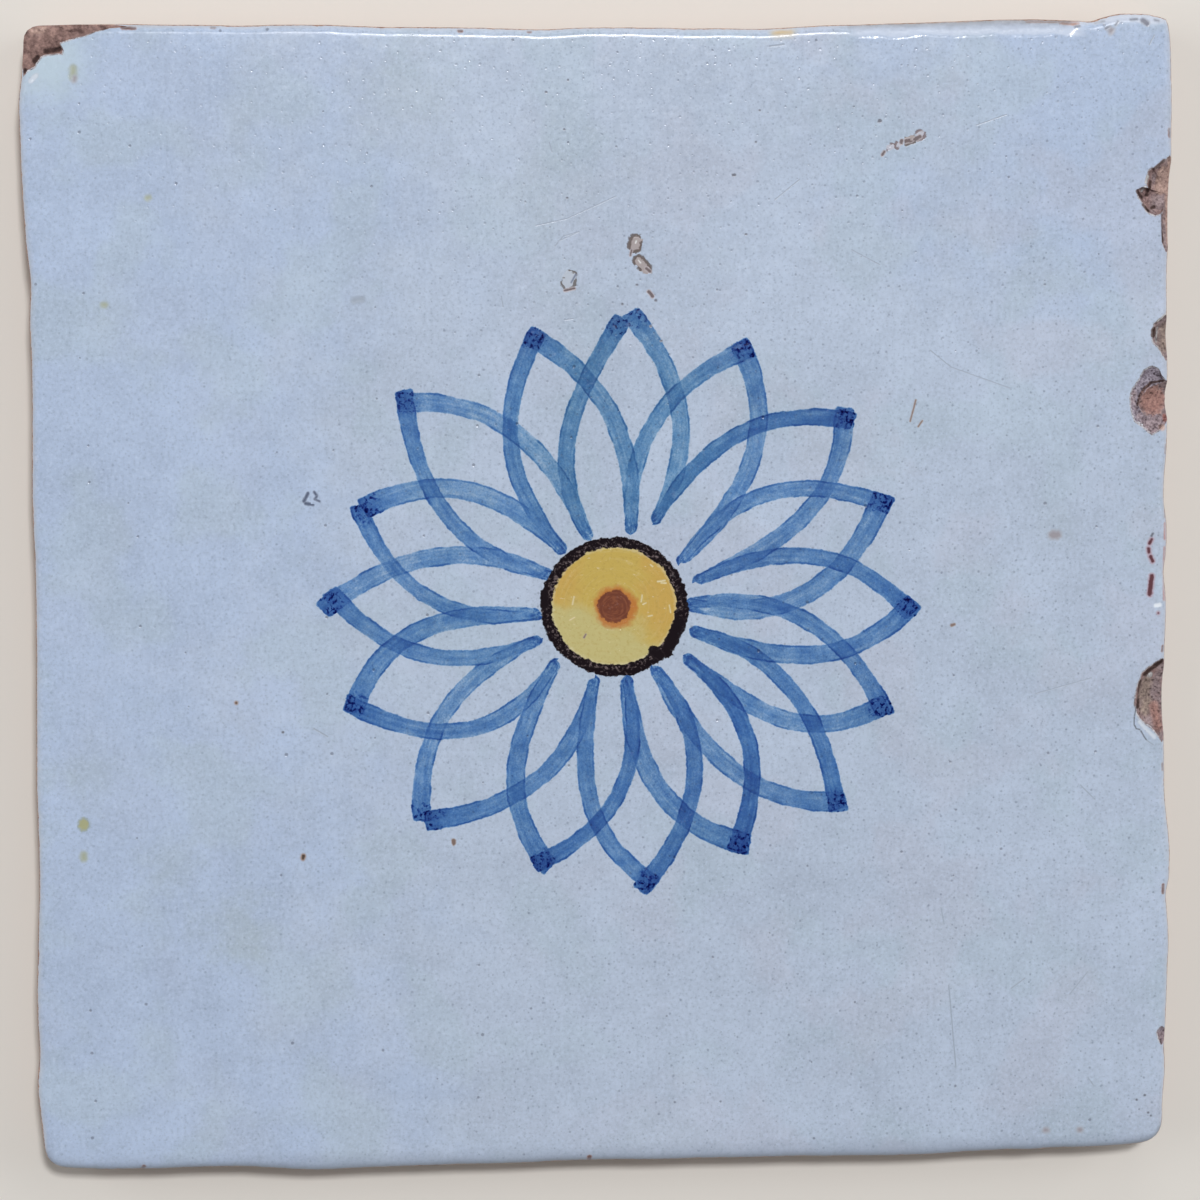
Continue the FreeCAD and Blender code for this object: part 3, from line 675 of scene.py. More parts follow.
    ("painted_hollow_shadow", 98.9, -13.6, 2.0, 0.8, 32), ("painted_hollow_shadow", 97.0, -16.9, 1.2, 0.4, 15),
    ("painted_hollow_shadow", 95.5, -19.2, 5.0, 0.5, 85), ("brown_clay", 96.8, -18.4, 4.0, 1.6, 80),
    ("brown_clay", 97.0, -21.4, 3.0, 1.6, 70), ("orange_clay", 98.9, -23.4, 4.6, 1.1, 98),
)


def stroke_curves(side):
    """The middle line of each petal's stroke on one side, 0 for the left and 1 for the right, in millimetres.
    It runs from the petal's tip to the place where its neighbour's strokes end."""
    curves = []
    for k, petal in enumerate(PETALS):
        tip = np.array(petal[side]) + ROSETTE_MIDDLE
        end = np.array(PETALS[(k + (1 if side else -1)) % len(PETALS)][2]) + ROSETTE_MIDDLE
        chord = end - tip
        across = np.array([-chord[1], chord[0]]) / np.linalg.norm(chord)
        near_tip, near_ring = petal[3 + side]
        first = tip + chord * (1 / 3) + across * near_tip
        second = tip + chord * (2 / 3) + across * near_ring
        handles = (Vector(p) for p in (tip, first, second, end))
        curve = geometry.interpolate_bezier(*handles, STROKE_POINTS)
        curves.append((np.array([p[:2] for p in curve]), petal[5 + side]))
    return curves


def along_and_across(curve, places):
    """For each place, how far it lies along the curve, which side of it and how far, and how much is left."""
    step = np.diff(curve, axis=0)
    size = np.linalg.norm(step, axis=1)
    start = np.concatenate([[0], np.cumsum(size)[:-1]])
    rel = places[:, None] - curve[None, :-1]
    on = (rel * step).sum(2) / size
    low = np.where(np.arange(len(size)) == 0, -99, 0)
    high = np.where(np.arange(len(size)) == len(size) - 1, size + 99, size)
    held = np.clip(on, low, high)
    off = rel - held[..., None] * (step / size[:, None])
    k = np.argmin((off**2).sum(2), axis=1)
    pick = np.arange(len(places))
    side = step[k, 0] * rel[pick, k, 1] - step[k, 1] * rel[pick, k, 0]
    along = start[k] + held[pick, k]
    return along, side / size[k], size.sum() - along


def corner_places(tile):
    """The plan place of every face corner, and of every face's middle, in millimetres, and the face that each
    corner is on."""
    mesh = tile.data
    points = np.empty(len(mesh.vertices) * 3)
    mesh.vertices.foreach_get("co", points)
    vertex = np.empty(len(mesh.loops), int)
    mesh.loops.foreach_get("vertex_index", vertex)
    middles = np.empty(len(mesh.polygons) * 3)
    mesh.polygons.foreach_get("center", middles)
    counts = np.empty(len(mesh.polygons), int)
    mesh.polygons.foreach_get("loop_total", counts)
    owner = np.repeat(np.arange(len(counts)), counts)
    return points.reshape(-1, 3)[vertex, :2] / MM, middles.reshape(-1, 3)[:, :2] / MM, owner


def store(tile, name, values, kind="FLOAT_VECTOR"):
    """Keeps a value for every face corner under a name that a material can read."""
    made = tile.data.attributes.new(name, kind, "CORNER")
    made.data.foreach_set("color" if kind == "FLOAT_COLOR" else "vector", values.astype(np.float32).ravel())


def store_strokes(tile, side, name):
    """Keeps, at every face corner, where it lies along and across the stroke nearest to its face."""
    corners, middles, owner = corner_places(tile)
    curves = stroke_curves(side)
    tree = kdtree.KDTree(STROKE_POINTS * len(curves))
    for k, (curve, _) in enumerate(curves):
        for p in curve:
            tree.insert((*p, 0), k)
    tree.balance()
    near = np.linalg.norm(middles - ROSETTE_MIDDLE, axis=1) < PAINTED_RADIUS
    chosen = np.full(len(middles), -1)
    for f in np.flatnonzero(near):
        chosen[f] = tree.find((*middles[f], 0))[1]
    place = np.tile(NO_STROKE, (len(corners), 1))
    brush = np.zeros((len(corners), 3))
    for k, (curve, (load, width)) in enumerate(curves):
        mine = np.flatnonzero(chosen[owner] == k)
        place[mine] = np.stack(along_and_across(curve, corners[mine]), 1)
        brush[mine] = load, k + side * len(curves), width
    store(tile, name + "_stroke", place)
    store(tile, name + "_brush", brush)


def store_marks(tile):
    """Keeps, at every face corner, where it lies from each of the two marks nearest to its face, and those
    marks' sizes and colours. The mark that comes later in the list lies over the other."""
    corners, middles, owner = corner_places(tile)
    gaps = np.empty((len(MARKS), len(middles)), np.float32)
    frames = []
    for k, (kind, x, y, length, width, turn) in enumerate(MARKS):
        a = math.radians(turn)
        ahead = np.array([[math.cos(a), -math.sin(a)], [math.sin(a), math.cos(a)]])
        straight = max(0.0, (length - width) / 2)
        rel = np.abs((middles - (x, y)) @ ahead)
        gaps[k] = np.hypot(np.maximum(rel[:, 0] - straight, 0), rel[:, 1]) - width / 2 - MARK_KINDS[kind][3]
        frames.append((ahead, straight))
    nearest = np.sort(np.argpartition(gaps, 2, axis=0)[:2], axis=0)
    kinds = [MARK_KINDS[m[0]] for m in MARKS]
    size = np.array([(f[1], m[4] / 2, kind[3]) for f, m, kind in zip(frames, MARKS, kinds)])
    edge = np.array([(kind[4], kind[5] if len(kind) > 5 else 0.0, kind[1]) for kind in kinds])
    body = np.array([full(kind[0]) for kind in kinds])
    halo = np.array([full(kind[2]) for kind in kinds])
    for layer, chosen in zip(MARK_LAYERS, nearest):
        mark = chosen[owner]
        place = np.zeros((len(corners), 3))
        for k in np.unique(mark):
            mine = mark == k
            place[mine, :2] = (corners[mine] - MARKS[k][1:3]) @ frames[k][0]
            place[mine, 2] = k
        store(tile, layer + "_place", place)
        store(tile, layer + "_size", size[mark])
        store(tile, layer + "_edge", edge[mark])
        store(tile, layer + "_body", body[mark], "FLOAT_COLOR")
        store(tile, layer + "_halo", halo[mark], "FLOAT_COLOR")


class TILE_OT_painting(bpy.types.Operator):
    """Lays the rosette's brush strokes and the glaze's marks on the slab, for its materials to paint"""

    bl_idname = "tile.painting"
    bl_label = "Painting"

    def execute(self, context):
        tile = context.scene.objects[PIECE]
        store_strokes(tile, 0, "left")
        store_strokes(tile, 1, "right")
        store_marks(tile)
        return {"FINISHED"}


class Wiring:
    """Adds nodes to one node tree and joins them, so that a finish reads as a list of steps. A value is a
    number, a colour or another node's output."""

    def __init__(self, tree):
        self.tree = tree

    def node(self, kind, inputs=None, **settings):
        """A new node of this kind, with its settings made and its inputs fed."""
        made = self.tree.nodes.new(kind)
        for key, value in settings.items():
            setattr(made, key, value)
        for key, value in (inputs or {}).items():
            self.feed(made.inputs[key], value)
        return made

    def feed(self, socket, value):
        """Joins an output to the socket, or sets the socket to a value."""
        if isinstance(value, bpy.types.NodeSocket):
            self.tree.links.new(value, socket)
        elif value is not None:
            socket.default_value = value

    def maths(self, operation, a, b=None, c=None):
        return self.node("ShaderNodeMath", {0: a, 1: b, 2: c}, operation=operation).outputs[0]

    def add(self, a, b):
        return self.maths("ADD", a, b)

    def times(self, a, b):
        return self.maths("MULTIPLY", a, b)

    def less(self, a, b):
        return self.maths("SUBTRACT", a, b)

    def blend(self, value, start, end, low=0.0, high=1.0):
        """Goes smoothly from low to high while value goes from start to end."""
        inputs = {0: value, 1: start, 2: end, 3: low, 4: high}
        return self.node("ShaderNodeMapRange", inputs, interpolation_type="SMOOTHSTEP").outputs[0]

    def vector(self, operation, a, b=None, scale=None):
        """Maths on places, which gives a number where it measures one."""
        made = self.node("ShaderNodeVectorMath", {0: a, 1: b}, operation=operation)
        self.feed(made.inputs[3], scale)
        return made.outputs["Value" if operation in ("LENGTH", "DOT_PRODUCT", "DISTANCE") else "Vector"]

    def parts(self, vector):
        return self.node("ShaderNodeSeparateXYZ", {0: vector}).outputs

    def joined(self, x, y, z=0.0):
        return self.node("ShaderNodeCombineXYZ", {0: x, 1: y, 2: z}).outputs[0]

    def grain(self, place, wavelength, detail=2.0, roughness=0.5, flat=False):
        """Uneven values of 0 to 1 round a half, on places in millimetres."""
        inputs = {"Vector": place, "Scale": 1 / wavelength, "Detail": detail, "Roughness": roughness}
        return self.node("ShaderNodeTexNoise", inputs, noise_dimensions="2D" if flat else "3D").outputs[0]

    def uneven(self, place, wavelength, *more, **flat):
        """Grain that goes up and down round nought."""
        return self.less(self.grain(place, wavelength, *more, **flat), 0.5)

    def mixed(self, share, a, b, way="MIX"):
        """Goes from one colour to another, or to the two of them mixed in another way."""
        made = self.node("ShaderNodeMix", data_type="RGBA", blend_type=way)
        for socket, value in ((0, share), (6, a), (7, b)):
            self.feed(made.inputs[socket], value)
        return made.outputs[2]

    def stained(self, colour, stain):
        """The colour seen through another one."""
        return self.mixed(1.0, colour, stain, "MULTIPLY")

    def ramp(self, value, shades):
        """Goes through these colours, each with the value where it stands."""
        made = self.node("ShaderNodeValToRGB", {0: value})
        stops = made.color_ramp.elements
        while len(stops) < len(shades):
            stops.new(0.5)
        for stop, (at, colour) in zip(stops, shades):
            stop.position, stop.color = at, full(colour)
        return made.outputs[0]

    def read(self, name):
        """What the mesh keeps at its face corners under this name."""
        return self.node("ShaderNodeAttribute", attribute_name=name).outputs

    def millimetres(self):
        """The place on the piece, in millimetres."""
        place = self.node("ShaderNodeTexCoord").outputs["Object"]
        return self.vector("SCALE", place, scale=1 / MM)

    def group(self, name, inputs):
        """The outputs of a node group that was built before."""
        made = self.node("ShaderNodeGroup")
        made.node_tree = bpy.data.node_groups[name]
        for key, value in inputs.items():
            self.feed(made.inputs[key], value)
        return made.outputs


def new_group(name, inputs, outputs):
    """An empty node group with named sockets, and its wiring and ends."""
    tree = bpy.data.node_groups.new(name, "ShaderNodeTree")
    for way, sockets in (("INPUT", inputs), ("OUTPUT", outputs)):
        for socket, kind in sockets.items():
            tree.interface.new_socket(name=socket, in_out=way, socket_type="NodeSocket" + kind)
    wires = Wiring(tree)
    return wires, wires.node("NodeGroupInput").outputs, wires.node("NodeGroupOutput").inputs


def brush_stroke_group():
    """One brush stroke from places along and across it: how thick its wash lies. It is thick where the brush
    started, streaked lengthwise, pooled at its edges and thinner near the middle of the rosette."""
    inputs = {"Stroke": "Vector", "Brush": "Vector", "Width": "Float"}
    w, given, out = new_group("brush stroke", inputs, {"Wash": "Float"})
    along, across, left = w.parts(given["Stroke"])
    load, number, wide = w.parts(given["Brush"])
    seed = w.times(number, 13.7)
    side = w.maths("SIGN", across)
    waver = w.grain(w.joined(along, w.times(side, 40), seed), 4.0, 1.0)
    fray = w.grain(w.joined(along, across, seed), 0.75, 3.0, 0.6)
    half = w.add(w.times(w.times(given["Width"], wide), 0.5), w.times(w.less(waver, 0.5), 0.7))
    half = w.add(half, w.blend(along, 10.0, 1.0, 0.0, 0.20))
    half = w.times(half, w.blend(left, 0.5, 10.0, 0.66, 1.0))
    half = w.add(half, w.times(w.less(fray, 0.5), 0.42))
    flank = w.less(w.maths("ABSOLUTE", across), half)
    slant = w.times(w.uneven(w.joined(seed, 3.0, 1.0), 1.0, 0.0), w.times(across, 1.6))
    tip = w.add(w.less(slant, along), w.times(w.less(fray, 0.5), 0.9))
    tail = w.less(w.times(w.maths("ABSOLUTE", across), 0.6), w.add(left, w.times(w.less(waver, 0.5), 2.4)))
    ends = w.maths("MAXIMUM", w.less(tip, 0.8), w.less(tail, 0.6))
    edge = w.maths("SMOOTH_MAX", flank, ends, 1.0)
    cover = w.blend(edge, 0.13, -0.13)
    streak = w.grain(w.joined(w.times(across, 1.5), w.times(along, 0.10), seed), 1.0, 2.0, 0.5)
    grainy = w.grain(w.joined(along, across, w.add(seed, 9.0)), 0.34, 3.0, 0.75)
    cloud = w.grain(w.joined(along, across, w.add(seed, 5.0)), 2.6, 3.0, 0.6)
    start = w.add(w.blend(along, 14.0, 0.0, 0.0, 0.20), w.blend(along, 4.5, -0.5, 0.0, 0.42))
    clotted = w.times(w.blend(fray, 0.51, 0.70), w.blend(along, 3.8, 0.2, 0.0, 4.4))
    rest = w.times(w.blend(left, 2.6, 0.0, 0.0, 0.8), w.blend(fray, 0.42, 0.62, -0.3, 1.0))
    dry = w.grain(w.joined(w.times(along, 0.45), w.times(across, 1.4), w.add(seed, 21.0)), 1.0, 3.0, 0.7)
    dry = w.times(w.less(dry, 0.5), w.blend(left, 7.0, 0.5, 0.0, 3.2))
    pooled = w.times(w.blend(edge, -0.45, -0.10), w.blend(waver, 0.44, 0.60, 0.0, 0.80))
    wash = w.add(w.add(load, w.add(start, w.add(rest, pooled))), w.add(clotted, dry))
    wash = w.add(wash, w.times(w.less(streak, 0.5), 1.15))
    wash = w.add(wash, w.times(w.less(grainy, 0.5), 1.30))
    wash = w.add(wash, w.times(w.less(cloud, 0.5), 1.15))
    w.feed(out["Wash"], w.times(w.maths("MAXIMUM", wash, 0.15), cover))


def specks_group():
    """Small round specks scattered over a flat place, some of the cells holding one."""
    inputs = {"Place": "Vector", "Spacing": "Float", "Size": "Float", "Share": "Float", "Seed": "Float"}
    w, given, out = new_group("scattered specks", inputs, {"Mask": "Float"})
    place = w.vector("ADD", given["Place"], w.joined(given["Seed"], w.times(given["Seed"], 1.7)))
    ragged = w.grain(place, 0.5, 1.0, flat=True)
    cells = w.vector("DIVIDE", place, w.joined(given["Spacing"], given["Spacing"], 1.0))
    found = w.node("ShaderNodeTexVoronoi", {"Vector": cells, "Scale": 1.0}, voronoi_dimensions="2D").outputs
    luck = w.node("ShaderNodeSeparateColor", {0: found["Color"]}).outputs
    away = w.add(w.times(found["Distance"], given["Spacing"]), w.times(w.less(ragged, 0.5), 0.14))
    radius = w.times(given["Size"], w.add(w.times(luck[1], 0.65), 0.35))
    round_mask = w.blend(w.less(away, radius), 0.13, -0.08)
    w.feed(out["Mask"], w.times(round_mask, w.maths("LESS_THAN", luck[0], given["Share"])))


def clay_group():
    """Grain of fired clay: light and dark grains, warm and cold patches, and the height of its roughness."""
    outputs = {"Grain": "Float", "Patch": "Float", "Height": "Float"}
    w, given, out = new_group("clay grain", {"Place": "Vector", "Coarse": "Float"}, outputs)
    coarse = w.vector("SCALE", given["Place"], scale=w.maths("DIVIDE", 1.0, given["Coarse"]))
    fine = w.grain(coarse, 0.36, 4.0, 0.65)
    lumps = w.grain(coarse, 1.2, 3.0, 0.6)
    pores = w.node("ShaderNodeTexVoronoi", {"Vector": coarse, "Scale": 1.7}).outputs["Distance"]
    pit = w.blend(pores, 0.34, 0.14)
    w.feed(out["Grain"], w.less(w.add(w.times(fine, 0.65), w.times(lumps, 0.35)), w.times(pit, 0.10)))
    w.feed(out["Patch"], w.grain(coarse, 3.4, 2.0))
    w.feed(out["Height"], w.less(w.add(w.times(fine, 0.6), lumps), w.times(pit, 0.45)))


def mark_group():
    """One mark laid over a colour, and where its body is: a filled spot or streak, or a loop drawn with a
    line that comes and goes."""
    vectors = {"Place": "Vector", "Size": "Vector", "Edge": "Vector"}
    colours = {"Colour": "Color", "Body colour": "Color", "Halo colour": "Color"}
    w, given, out = new_group("glaze mark", {**vectors, **colours}, {"Colour": "Color", "Body": "Float"})
    x, y, number = w.parts(given["Place"])
    straight, half, spread = w.parts(given["Size"])
    soft, line, cover = w.parts(given["Edge"])
    seed = w.times(number, 3.3)
    ragged = w.uneven(w.joined(x, y, seed), 0.55, 2.0)
    beyond = w.maths("MAXIMUM", w.less(w.maths("ABSOLUTE", x), straight), 0.0)
    gap = w.less(w.vector("LENGTH", w.joined(beyond, y)), half)
    gap = w.add(gap, w.times(ragged, w.add(w.times(half, 0.9), 0.06)))
    strength = w.blend(w.grain(w.joined(x, y, w.add(seed, 8.0)), 1.4, 1.0), 0.32, 0.54, -0.4, 1.0)
    drawn = w.less(w.maths("ABSOLUTE", gap), w.times(line, strength))
    looped = w.maths("GREATER_THAN", line, 0.0)
    shape = w.add(gap, w.times(looped, w.less(drawn, gap)))
    body = w.blend(shape, soft, w.times(soft, -1.0))
    halo = w.times(w.blend(gap, spread, 0.0), 0.85)
    colour = w.mixed(halo, given["Colour"], given["Halo colour"])
    w.feed(out["Colour"], w.mixed(w.times(body, cover), colour, given["Body colour"]))
    w.feed(out["Body"], body)


def show_marks(w, colour):
    """The colour with the marks over it, and where their bodies are."""
    bodies = []
    for layer in MARK_LAYERS:
        inputs = {name: w.read(f"{layer}_{name.lower()}")["Vector"] for name in ("Place", "Size", "Edge")}
        inputs["Body colour"] = w.read(layer + "_body")["Color"]
        inputs["Halo colour"] = w.read(layer + "_halo")["Color"]
        mark = w.group("glaze mark", {"Colour": colour, **inputs})
        colour = mark["Colour"]
        bodies.append(mark["Body"])
    return colour, w.maths("MAXIMUM", *bodies)


def new_material(name):
    """A material with a Principled shader alone, its wiring and that shader's inputs."""
    material = bpy.data.materials.new(name)
    material.use_nodes = True
    material.node_tree.nodes.clear()
    w = Wiring(material.node_tree)
    surface = w.node("ShaderNodeBsdfPrincipled")
    output = w.node("ShaderNodeOutputMaterial")
    w.feed(output.inputs["Surface"], surface.outputs[0])
    return material, w, surface.inputs


def raised(w, height, distance, strength=1.0):
    """A normal that shows this height, at its full distance in millimetres."""
    inputs = {"Strength": strength, "Distance": distance * MM, "Height": height}
    return w.node("ShaderNodeBump", inputs).outputs[0]


def paint_strokes(w, colour, place, look):
    """Stains a colour with both families of brush strokes. The cobalt is greener in the topmost petals."""
    washes = []
    for side in ("left", "right"):
        inputs = {"Stroke": w.read(side + "_stroke")["Vector"], "Brush": w.read(side + "_brush")["Vector"]}
        washes.append(w.group("brush stroke", {**inputs, "Width": look.stroke_width / MM})["Wash"])
    stronger, weaker = w.maths("MAXIMUM", *washes), w.maths("MINIMUM", *washes)
    from_middle = w.vector("DISTANCE", place, (*ROSETTE_MIDDLE, 13.0))
    inside = w.blend(from_middle, 17.0, 34.0, 0.05, 0.60)
    outside = w.blend(from_middle, 39.0, 47.0, 1.0, 0.30)
    wash = w.add(stronger, w.times(weaker, w.times(inside, outside)))
    from_top = w.vector("DISTANCE", place, (3.0, 30.0, 13.0))
    stain = w.mixed(w.blend(from_top, 26.0, 12.0, 0.0, 0.7), tuple(look.cobalt), full((116, 170, 204)))
    return w.stained(colour, w.node("ShaderNodeGamma", {"Color": stain, "Gamma": wash}).outputs[0])


def paint_middle(w, colour, place, look):
    """Paints the yellow disc, its dark outline and the rust dot in the middle of the rosette."""
    rel = w.vector("SUBTRACT", place, (1.5, -2.0, 0.0))
    rel = w.vector("DIVIDE", rel, (1.027, 0.973, 1.0))
    x, y, _ = w.parts(rel)
    flat = w.joined(x, y)
    waver = w.uneven(flat, 2.6, 2.0, flat=True)
    fray = w.uneven(flat, 0.8, 3.0, 0.6, flat=True)
    radius = w.vector("LENGTH", flat)
    low_right = w.blend(w.less(x, y), 4.0, 17.0, 0.0, 0.22)
    line_radius = w.add(11.62, w.times(low_right, 0.5))
    line = w.maths("ABSOLUTE", w.less(w.add(radius, w.times(waver, 0.9)), line_radius))
    line = w.less(line, w.add(0.92, low_right))
    line = w.blend(w.add(line, w.times(fray, 0.75)), 0.10, -0.10)
    cloud = w.uneven(flat, 4.5, 3.0, flat=True)
    combed = w.grain(w.joined(w.times(radius, 2.4), w.maths("ARCTAN2", y, x)), 1.0, 3.0, 0.6, flat=True)
    yellow = tuple(look.yellow)
    pale, orange = full((189, 181, 126)), full((194, 156, 80))
    down = w.add(w.times(x, -0.35), w.times(y, -1.0))
    lower = w.blend(w.add(down, w.times(cloud, 9.0)), -0.5, 5.5)
    disc = w.mixed(w.times(lower, 0.85), yellow, pale)
    side = w.blend(w.add(w.maths("ABSOLUTE", w.add(x, 1.0)), w.times(cloud, 8.0)), 3.5, 8.5)
    disc = w.mixed(w.times(w.times(side, w.less(1.0, lower)), 0.7), disc, orange)
    disc = w.mixed(w.blend(combed, 0.52, 0.70, 0.0, 0.16), disc, full((206, 192, 142)))
    browner = w.blend(w.grain(flat, 0.7, 3.0, 0.7, flat=True), 0.50, 0.70, 0.0, 0.35)
    disc = w.mixed(browner, disc, full((168, 142, 70)))
    worn = w.grain(w.joined(w.times(x, 0.5), w.times(y, 1.2), 4.0), 0.8, 4.0, 0.7)
    disc = w.mixed(w.blend(worn, 0.63, 0.70, 0.0, 0.7), disc, full((222, 216, 186)))
    rim = w.blend(w.add(radius, w.times(fray, 0.8)), 10.2, 10.7, 0.0, 0.45)
    disc = w.mixed(rim, disc, full((206, 198, 160)))
    colour = w.mixed(w.blend(w.add(radius, w.times(waver, 0.8)), 11.5, 11.2), colour, disc)
    dot = w.add(w.add(radius, w.times(fray, 0.9)), w.times(waver, 0.9))
    run_down = w.blend(w.less(x, y), -2.0, 3.5, 0.0, 0.55)
    stained = w.blend(dot, w.add(4.1, run_down), w.add(2.9, run_down), 0.0, 0.85)
    colour = w.mixed(stained, colour, full((180, 104, 44)))
    rust = w.mixed(w.blend(combed, 0.42, 0.66), tuple(look.rust), full((124, 68, 44)))
    colour = w.mixed(w.blend(dot, 3.05, 2.75), colour, rust)
    inner = w.blend(w.add(radius, w.times(waver, 0.9)), 12.0, 11.4)
    chalky = w.blend(w.grain(flat, 0.95, 4.0, 0.7, flat=True), 0.54, 0.66, 0.0, 0.75)
    thin = w.blend(w.grain(flat, 0.55, 3.0, 0.6, flat=True), 0.60, 0.68, 0.0, 0.40)
    chalky = w.add(w.times(chalky, inner), thin)
    dark = w.mixed(chalky, tuple(look.manganese), full((108, 92, 94)))
    return w.mixed(line, colour, dark), line


# Greyish green stains in the glaze: place and radius in millimetres, and how strong
STAINS = (
    (-66.0, -58.0, 10.0, 0.55), (-77.0, -46.0, 8.0, 0.40), (-86.0, 51.0, 8.0, 0.35),
    (-34.0, 88.0, 15.0, 0.35), (-8.0, 74.0, 16.0, 0.30), (77.0, 59.0, 7.0, 0.30),
    (80.0, 12.0, 7.0, 0.25), (-90.0, -30.0, 9.0, 0.35),
)


def glaze_clouds(w, flat, glaze):
    """Large, soft clouds in the glaze: bluer on the left and at the top right, greyer elsewhere, with
    greenish and pinkish patches, faint stains and an unevenness of every size."""
    x = w.parts(flat)["X"]
    drift = w.times(w.uneven(flat, 26.0, 4.0, 0.65, flat=True), 110.0)
    cool, green, pink = full((172, 188, 214)), full((172, 188, 204)), full((180, 187, 205))
    from_left = w.blend(w.add(x, drift), -72.0, -22.0)
    from_corner = w.blend(w.add(w.vector("DISTANCE", flat, (96.0, 96.0, 0.0)), drift), 20.0, 66.0)
    colour = w.mixed(w.maths("MINIMUM", from_left, from_corner), cool, glaze)
    greener = w.blend(w.grain(flat, 19.0, 3.0, flat=True), 0.49, 0.64, 0.0, 0.55)
    colour = w.mixed(greener, colour, green)
    elsewhere = w.vector("ADD", flat, (60.0, 25.0, 0.0))
    pinker = w.blend(w.grain(elsewhere, 21.0, 3.0, flat=True), 0.50, 0.64)
    colour = w.mixed(w.times(pinker, w.blend(x, -30.0, 25.0, 0.10, 0.50)), colour, pink)
    ragged = w.uneven(flat, 6.0, 4.0, 0.7, flat=True)
    for across, up, radius, strength in STAINS:
        away = w.add(w.vector("DISTANCE", flat, (across, up, 0.0)), w.times(ragged, radius * 1.6))
        colour = w.mixed(w.blend(away, radius, 0.0, 0.0, strength), colour, full((163, 177, 186)))
    shaded = w.uneven(w.vector("ADD", flat, (13.0, 7.0, 0.0)), 34.0, 5.0, 1.0, flat=True)
    return w.stained(colour, w.add(w.times(shaded, 0.48), 1.0))


def specks(w, flat, spacing, size, share, seed):
    """Where specks lie. Sizes are in millimetres, and the share is that of the cells that hold one."""
    given = {"Place": flat, "Spacing": spacing, "Size": size, "Share": share, "Seed": seed}
    return w.group("scattered specks", given)["Mask"]


def scatter_specks(w, colour, flat, x):
    """Scatters specks of three sizes over a colour, the smaller ones fainter on the left. It also gives how
    deep the specks pit the glaze."""
    faint = specks(w, flat, 1.25, 0.15, 0.62, 3.0)
    small = specks(w, flat, 2.3, 0.20, 0.45, 17.0)
    large = specks(w, flat, 8.5, 0.27, 0.26, 41.0)
    plain = w.blend(x, -100.0, 10.0, 0.45, 1.0)
    colour = w.mixed(w.times(w.times(faint, plain), 0.34), colour, full((118, 129, 150)))
    colour = w.mixed(w.times(w.times(small, plain), 0.42), colour, full((102, 109, 128)))
    colour = w.mixed(w.times(large, 0.55), colour, full((84, 86, 100)))
    return colour, w.add(w.times(small, 0.25), w.times(large, 0.6))


def thin_over_clay(w, colour, place, fall):
    """Thins the glaze as it falls over the arris, down to bare clay, and gives where the clay is bare and how
    high its grains stand. The thin glaze is paler, partly as a painted highlight, and darker along the bottom
    side as painted shade."""
    # The thin glaze is paler, partly as a painted highlight, and painted shade darkens it along the bottom
    # side
    rolled = w.mixed(w.blend(w.parts(place)["Y"], -98.5, -96.5), full((146, 156, 170)), full((200, 207, 220)))
    colour = w.mixed(w.blend(fall, 0.10, 0.8, 0.0, 0.70), colour, rolled)
    grain = w.group("clay grain", {"Place": place, "Coarse": 0.8})
    clay = w.mixed(w.blend(grain["Grain"], 0.42, 0.58), full((134, 98, 84)), full((200, 166, 148)))
    bare = w.blend(fall, 0.80, 1.0)
    return w.mixed(bare, colour, clay), bare, grain["Height"]


